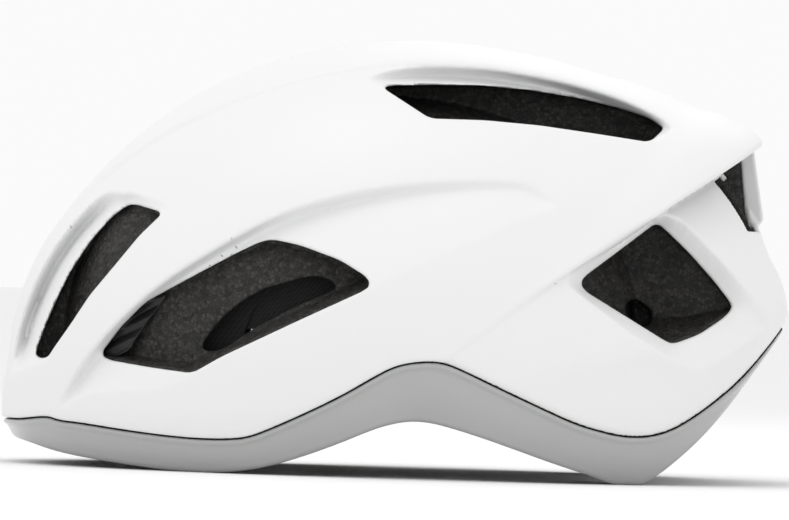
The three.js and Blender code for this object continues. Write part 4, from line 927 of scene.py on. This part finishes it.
for s, side in SIDES:
    A = s * DIV_A
    low, high = elevation_at(A, DIV_T, -11.4), elevation_at(A, DIV_T, 11.2)
    p, n = wall_path([(s * 118, -14.2, 2.1), (s * 117, -6, 2.1), (s * 115.5, 4, 2.1), (s * 112, 14, 2.1), (s * 106.5, 20, 2.1), (s * 101.8, low - 2.6, 2.4)])
    put(ribbon("front_strap_%s_web" % side, p, n, WEB_W, WEB_T, 60), "helmet", ["front_strap_" + side], WEB)
    p, n = wall_path([(s * 49, -14.2, 2.1), (s * 51, -6, 2.1), (s * 56, 6, 2.1), (s * 63, 17, 2.1), (s * 72, 26, 2.1), (s * 80, 32, 2.2), (s * 86.0, 35.0, 2.6)])
    put(ribbon("rear_strap_%s_web" % side, p, n, WEB_W, WEB_T, 70), "helmet", ["rear_strap_" + side], WEB)
    p, n = wall_path([(A, high, 3.2), (A, high + 2.5, 3.8), (A, high + 5, 5.0)])
    for x, y, z, ny in ((-22.8, 46, 110.9, 0.35), (-22.4, 39, 111, 0), (-22.4, 26, 111, 0), (-22.4, 8, 111, 0)):
        p.append(np.array([x, s * y, z])); v = np.array([0, s * ny, 1.0]); n.append(v / np.linalg.norm(v))
    put(ribbon("chin_strap_%s_web" % side, p, n, WEB_W, WEB_T, 70), "helmet", ["chin_strap_" + side], WEB)


# ---- eyewear grips: ribbed rubber blocks at the front tip of each side vent
def f_grip(x, y, z, m):
    f = fields(x, y, z, m)
    # ribs run along the vent's front edge direction, stepping upwards
    q = (z - 38.0) * 0.89 - (x + 104.0) * 0.45
    rib = np.abs(((q / 4.4) % 1.0) - 0.5) * 2.0
    outer = f["L"] + 3.0 + rib * 1.7
    blk = smax(m["grip"] + 0.3, outer, 0.8)
    return smax(blk, -(f["L"] + 9.0), 0.5)


v, q = surface(f_grip, 0.45, (-108, 40, 35), (-76, 100, 66))
half = v[:, 1] > 1
for s, side in SIDES:
    vs = v.copy()
    sel = (v[q][:, :, 1] * s > 1).all(axis=1)
    used = np.unique(q[sel]); mp = np.full(len(v), -1, int); mp[used] = np.arange(len(used))
    ob = mesh_object("eyewear_grip_%s_ribbed" % side, v[used], mp[q[sel]])
    put(ob, "helmet", ["eyewear_grip_" + side], RUBBER)

# ---- fit dial: scalloped knob with a recessed face
def knob():
    nr, na = 0, 180
    prof = [(4.2, 91.2), (5.0, 91.5), (6.2, 91.4), (6.8, 90.5), (9.4, 90.3), (10.0, 91.2), (10.6, 91.5), (11.6, 91.3), (12.2, 90.7), (12.5, 89.8), (12.5, 84.2), (12.2, 83.2), (11.4, 82.6), (9.0, 82.45), (5.0, 82.45)]
    P = []
    base = []
    for i in range(len(prof) - 1):
        a, b = np.array(prof[i]), np.array(prof[i + 1])
        k = max(1, int(np.linalg.norm(b - a) / 0.7))
        for j in range(k):
            base.append(a + (b - a) * j / k)
    base.append(np.array(prof[-1]))
    base = np.array(base)
    for _ in range(1):
        sm = base.copy(); sm[1:-1] = 0.25 * base[:-2] + 0.5 * base[1:-1] + 0.25 * base[2:]; base = sm
    V = []
    for r, x in base:
        th = 2 * np.pi * np.arange(na) / na
        sc = 0.5 - 0.5 * np.cos(14 * th)
        amp = 0.9 * sstep((r - 10.0) / 1.8)
        rr = r - amp * (1 - sc) ** 1.5
        V.append(np.stack([np.full(na, x), rr * np.cos(th), rr * np.sin(th) + 22.0], -1))
    n = len(base); V = np.concatenate(V)
    F = []
    for i in range(n):
        i2 = (i + 1) % n
        a = i * na + np.arange(na); b = i * na + (np.arange(na) + 1) % na
        c = i2 * na + (np.arange(na) + 1) % na; d = i2 * na + np.arange(na)
        F.append(np.stack([a, b, c, d], -1))
    ob = mesh_object("fit_dial_knob", V, np.concatenate(F))
    bm = bmesh.new(); bm.from_mesh(ob.data); bmesh.ops.recalc_face_normals(bm, faces=bm.faces); bm.to_mesh(ob.data); bm.free()
    ob.data.polygons.foreach_set("use_smooth", np.ones(len(ob.data.polygons), bool))
    return ob


put(knob(), "dial", ["dial_knob"], DIALM)


def plate(name, hy, hz, cr, x0, x1, cz, hole=0.0, crown_h=0.0, edge=0.7, tray=None, n=96):
    """rounded-rectangle plate facing +X: rounded edges, optional round hole, slight crown, or a tray with walls"""
    def outline(ins):
        th = 2 * np.pi * (np.arange(n) + 0.5) / n
        a, b, r = hy - ins, hz - ins, max(0.3, cr - ins)
        p = []
        for t in th:
            cx_, cz_ = math.cos(t), math.sin(t)
            # point on rounded rectangle by ray march
            lo, hi = 0.0, 3 * max(a, b)
            for _ in range(30):
                mid = (lo + hi) / 2
                px, pz = abs(mid * cx_), abs(mid * cz_)
                qx, qz = px - (a - r), pz - (b - r)
                sd = math.hypot(max(qx, 0), max(qz, 0)) + min(max(qx, qz), 0) - r
                if sd < 0: lo = mid
                else: hi = mid
            p.append((lo * cx_, lo * cz_))
        return np.array(p)
    rings = []
    if tray is None:
        O = outline(0)
        for ins, x in ((0.6 * edge, x0), (0, x0 + 0.5 * edge), (0, x1 - edge), (0.25 * edge, x1 - 0.35 * edge), (edge, x1)):
            rings.append((outline(ins), x))
        for k in (0.8, 0.6, 0.4, 0.25):
            inner = outline(edge) * k
            if hole:
                r = np.linalg.norm(inner, axis=1, keepdims=True)
                inner = inner * np.maximum(1, (hole + 0.4) / r)
            rings.append((inner, x1 + crown_h * (1 - k * k)))
        c = outline(edge); c = c / np.linalg.norm(c, axis=1, keepdims=True)
        rings.append((c * max(hole, 0.05), x1 + crown_h))
        rings.append((c * max(hole, 0.05), x0))
    else:
        w, fl = tray
        for ins, x in ((0.6 * edge, x0), (0, x0 + 0.6 * edge), (0, x1 - 0.3), (0.3, x1), (w - 0.3, x1), (w, x1 - 0.3), (w, x0 + fl + 0.4), (w + 0.4, x0 + fl)):
            rings.append((outline(ins), x))
        c = outline(edge); c = c / np.linalg.norm(c, axis=1, keepdims=True)
        rings.append((c * 0.05, x0 + fl)); rings.append((c * 0.05, x0))
    V = np.concatenate([np.stack([np.full(n, x), p[:, 0], p[:, 1] + cz], -1) for p, x in rings])
    F = []
    R = len(rings)
    for i in range(R):
        i2 = (i + 1) % R
        a = i * n + np.arange(n); b = i * n + (np.arange(n) + 1) % n
        c_ = i2 * n + (np.arange(n) + 1) % n; d = i2 * n + np.arange(n)
        F.append(np.stack([a, b, c_, d], -1))
    ob = mesh_object(name, V, np.concatenate(F))
    bm = bmesh.new(); bm.from_mesh(ob.data); bmesh.ops.recalc_face_normals(bm, faces=bm.faces); bm.to_mesh(ob.data); bm.free()
    for p in ob.data.polygons:
        p.use_smooth = True
    return ob


put(plate("cradle_back_cover", 22.0, 12.0, 7.0, 80.6, 82.1, 22.0, hole=2.45, crown_h=0.0, edge=0.7), "cradle", ["cradle_cover"], BLACK)

# ---- the rest of the moulded hardware keeps its solids, with softened edges
SOFT_EDGES = {"cradle_housing": 0.45, "cradle_yoke": 0.6, "height_strap": 0.35, "height_anchor": 0.5, "headband_front": 0.5,
              "buckle_socket": 0.9, "buckle_plug": 0.9, "dial_pinion": 0.1, "dial_screw": 0.15}
for s, side in SIDES:
    SOFT_EDGES.update({"temple_pivot_" + side: 0.4, "strap_divider_" + side: 0.5, "divider_lever_" + side: 0.6, "headband_anchor_" + side: 0.4,
                       "strap_anchor_front_" + side: 0.6, "strap_anchor_rear_" + side: 0.6, "side_band_" + side: 0.45, "belt_" + side: 0.3})
for nm, w_ in SOFT_EDGES.items():
    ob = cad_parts[nm]
    md = ob.modifiers.new("edges", "BEVEL")
    md.width = w_ * MM; md.segments = 3; md.limit_method = "ANGLE"; md.angle_limit = math.radians(38); md.harden_normals = False
    mat = STEEL if nm == "dial_screw" else (DIALM if nm == "dial_pinion" else BLACK)
    for i in range(max(1, len(ob.material_slots))):
        if len(ob.material_slots) == 0:
            ob.data.materials.append(mat)
        else:
            ob.material_slots[i].material = mat

for s, side in SIDES:
    for nm in ("cradle_pad_" + side,):
        lo_, hi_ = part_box(nm)
    P = [(71.6, s * 15, 38.6), (72.8, s * 20, 50), (72.0, s * 25.5, 62)]
    N = [(-1, 0, 0.1), (-1, -s * 0.1, -0.05), (-1, -s * 0.2, -0.25)]
    ob = ribbon("cradle_pad_%s_soft" % side, P, N, 16.6, 3.4, 40, bulge=0.35, edge=0.5, taper=lambda k: 1 - 0.30 * abs(2 * k - 1) ** 4)
    put(ob, "cradle", ["cradle_pad_" + side], PADM)
note("interior")

# ------------------------------------------------------------------ floor, light, camera
def stage_floor():
    me = bpy.data.meshes.new("floor")
    bm = bmesh.new()
    s = 14.0
    prof = [(-s, 0.0), (-1.0, 0.0), (1.0, 0.0), (s, 0.0)]
    rows = []
    for (yy, zz) in prof:
        rows.append([bm.verts.new((xx, yy, zz)) for xx in (-s, s)])
    for a, b in zip(rows[:-1], rows[1:]):
        bm.faces.new((a[0], a[1], b[1], b[0]))
    bm.to_mesh(me); bm.free()
    me.polygons.foreach_set("use_smooth", np.ones(len(me.polygons), bool))
    ob = bpy.data.objects.new("floor", me)
    bpy.context.scene.collection.objects.link(ob)
    m, nt, bs = new_mat("floor_mat")
    v = coords(nt)
    n = node(nt, "ShaderNodeTexNoise", Scale=30.0, Detail=4.0)
    nt.links.new(v, n.inputs["Vector"])
    nt.links.new(ramp(nt, n.outputs[0], [(0.3, 0.90), (0.7, 0.92)]), bs.inputs["Base Color"])
    bs.inputs["Roughness"].default_value = 0.9
    bs.inputs["Specular IOR Level"].default_value = 0.1
    ob.data.materials.append(m)
    ob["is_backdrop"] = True
    return ob


stage_floor()


def area(name, loc, target, size, power, color=(1, 1, 1), size_y=None):
    l = bpy.data.lights.new(name, "AREA")
    l.energy = power; l.size = size; l.color = color
    if size_y:
        l.shape = "RECTANGLE"; l.size_y = size_y
    o = bpy.data.objects.new(name, l)
    bpy.context.scene.collection.objects.link(o)
    o.location = loc
    d = Vector(target) - Vector(loc)
    o.rotation_mode = "QUATERNION"
    o.rotation_quaternion = d.to_track_quat("-Z", "Y")
    return o


C = (0, 0, 0.08)
area("key_top", (-0.30, -0.35, 1.30), C, 0.9, 3.4)
area("fill_front", (-0.8, -1.3, 0.95), C, 1.0, 0.9)
area("fill_rear", (1.3, -0.9, 0.4), C, 0.9, 0.9)
area("back_rim", (0.3, 0.9, 0.9), C, 0.8, 1.2)

w = bpy.data.worlds.new("soft_studio")
bpy.context.scene.world = w
w.use_nodes = True
w.node_tree.nodes["Background"].inputs[0].default_value = (1.0, 1.0, 1.0, 1)
w.node_tree.nodes["Background"].inputs[1].default_value = 0.96

cam = bpy.data.cameras.new("camera")
camo = bpy.data.objects.new("camera", cam)
bpy.context.scene.collection.objects.link(camo)
cam.lens, cam.sensor_width = 400, 36
camo.location = (-0.001431, -3.156, 0.076506)
camo.rotation_mode = "XYZ"
camo.rotation_euler = (math.radians(90), math.radians(-1.755), 0)
bpy.context.scene.camera = camo
bpy.context.scene.view_settings.view_transform = "Standard"

VIS_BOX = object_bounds()
note("size", [[round(c * 1000, 1) for c in b] for b in CAD_BOX], [[round(c * 1000, 1) for c in b] for b in VIS_BOX])
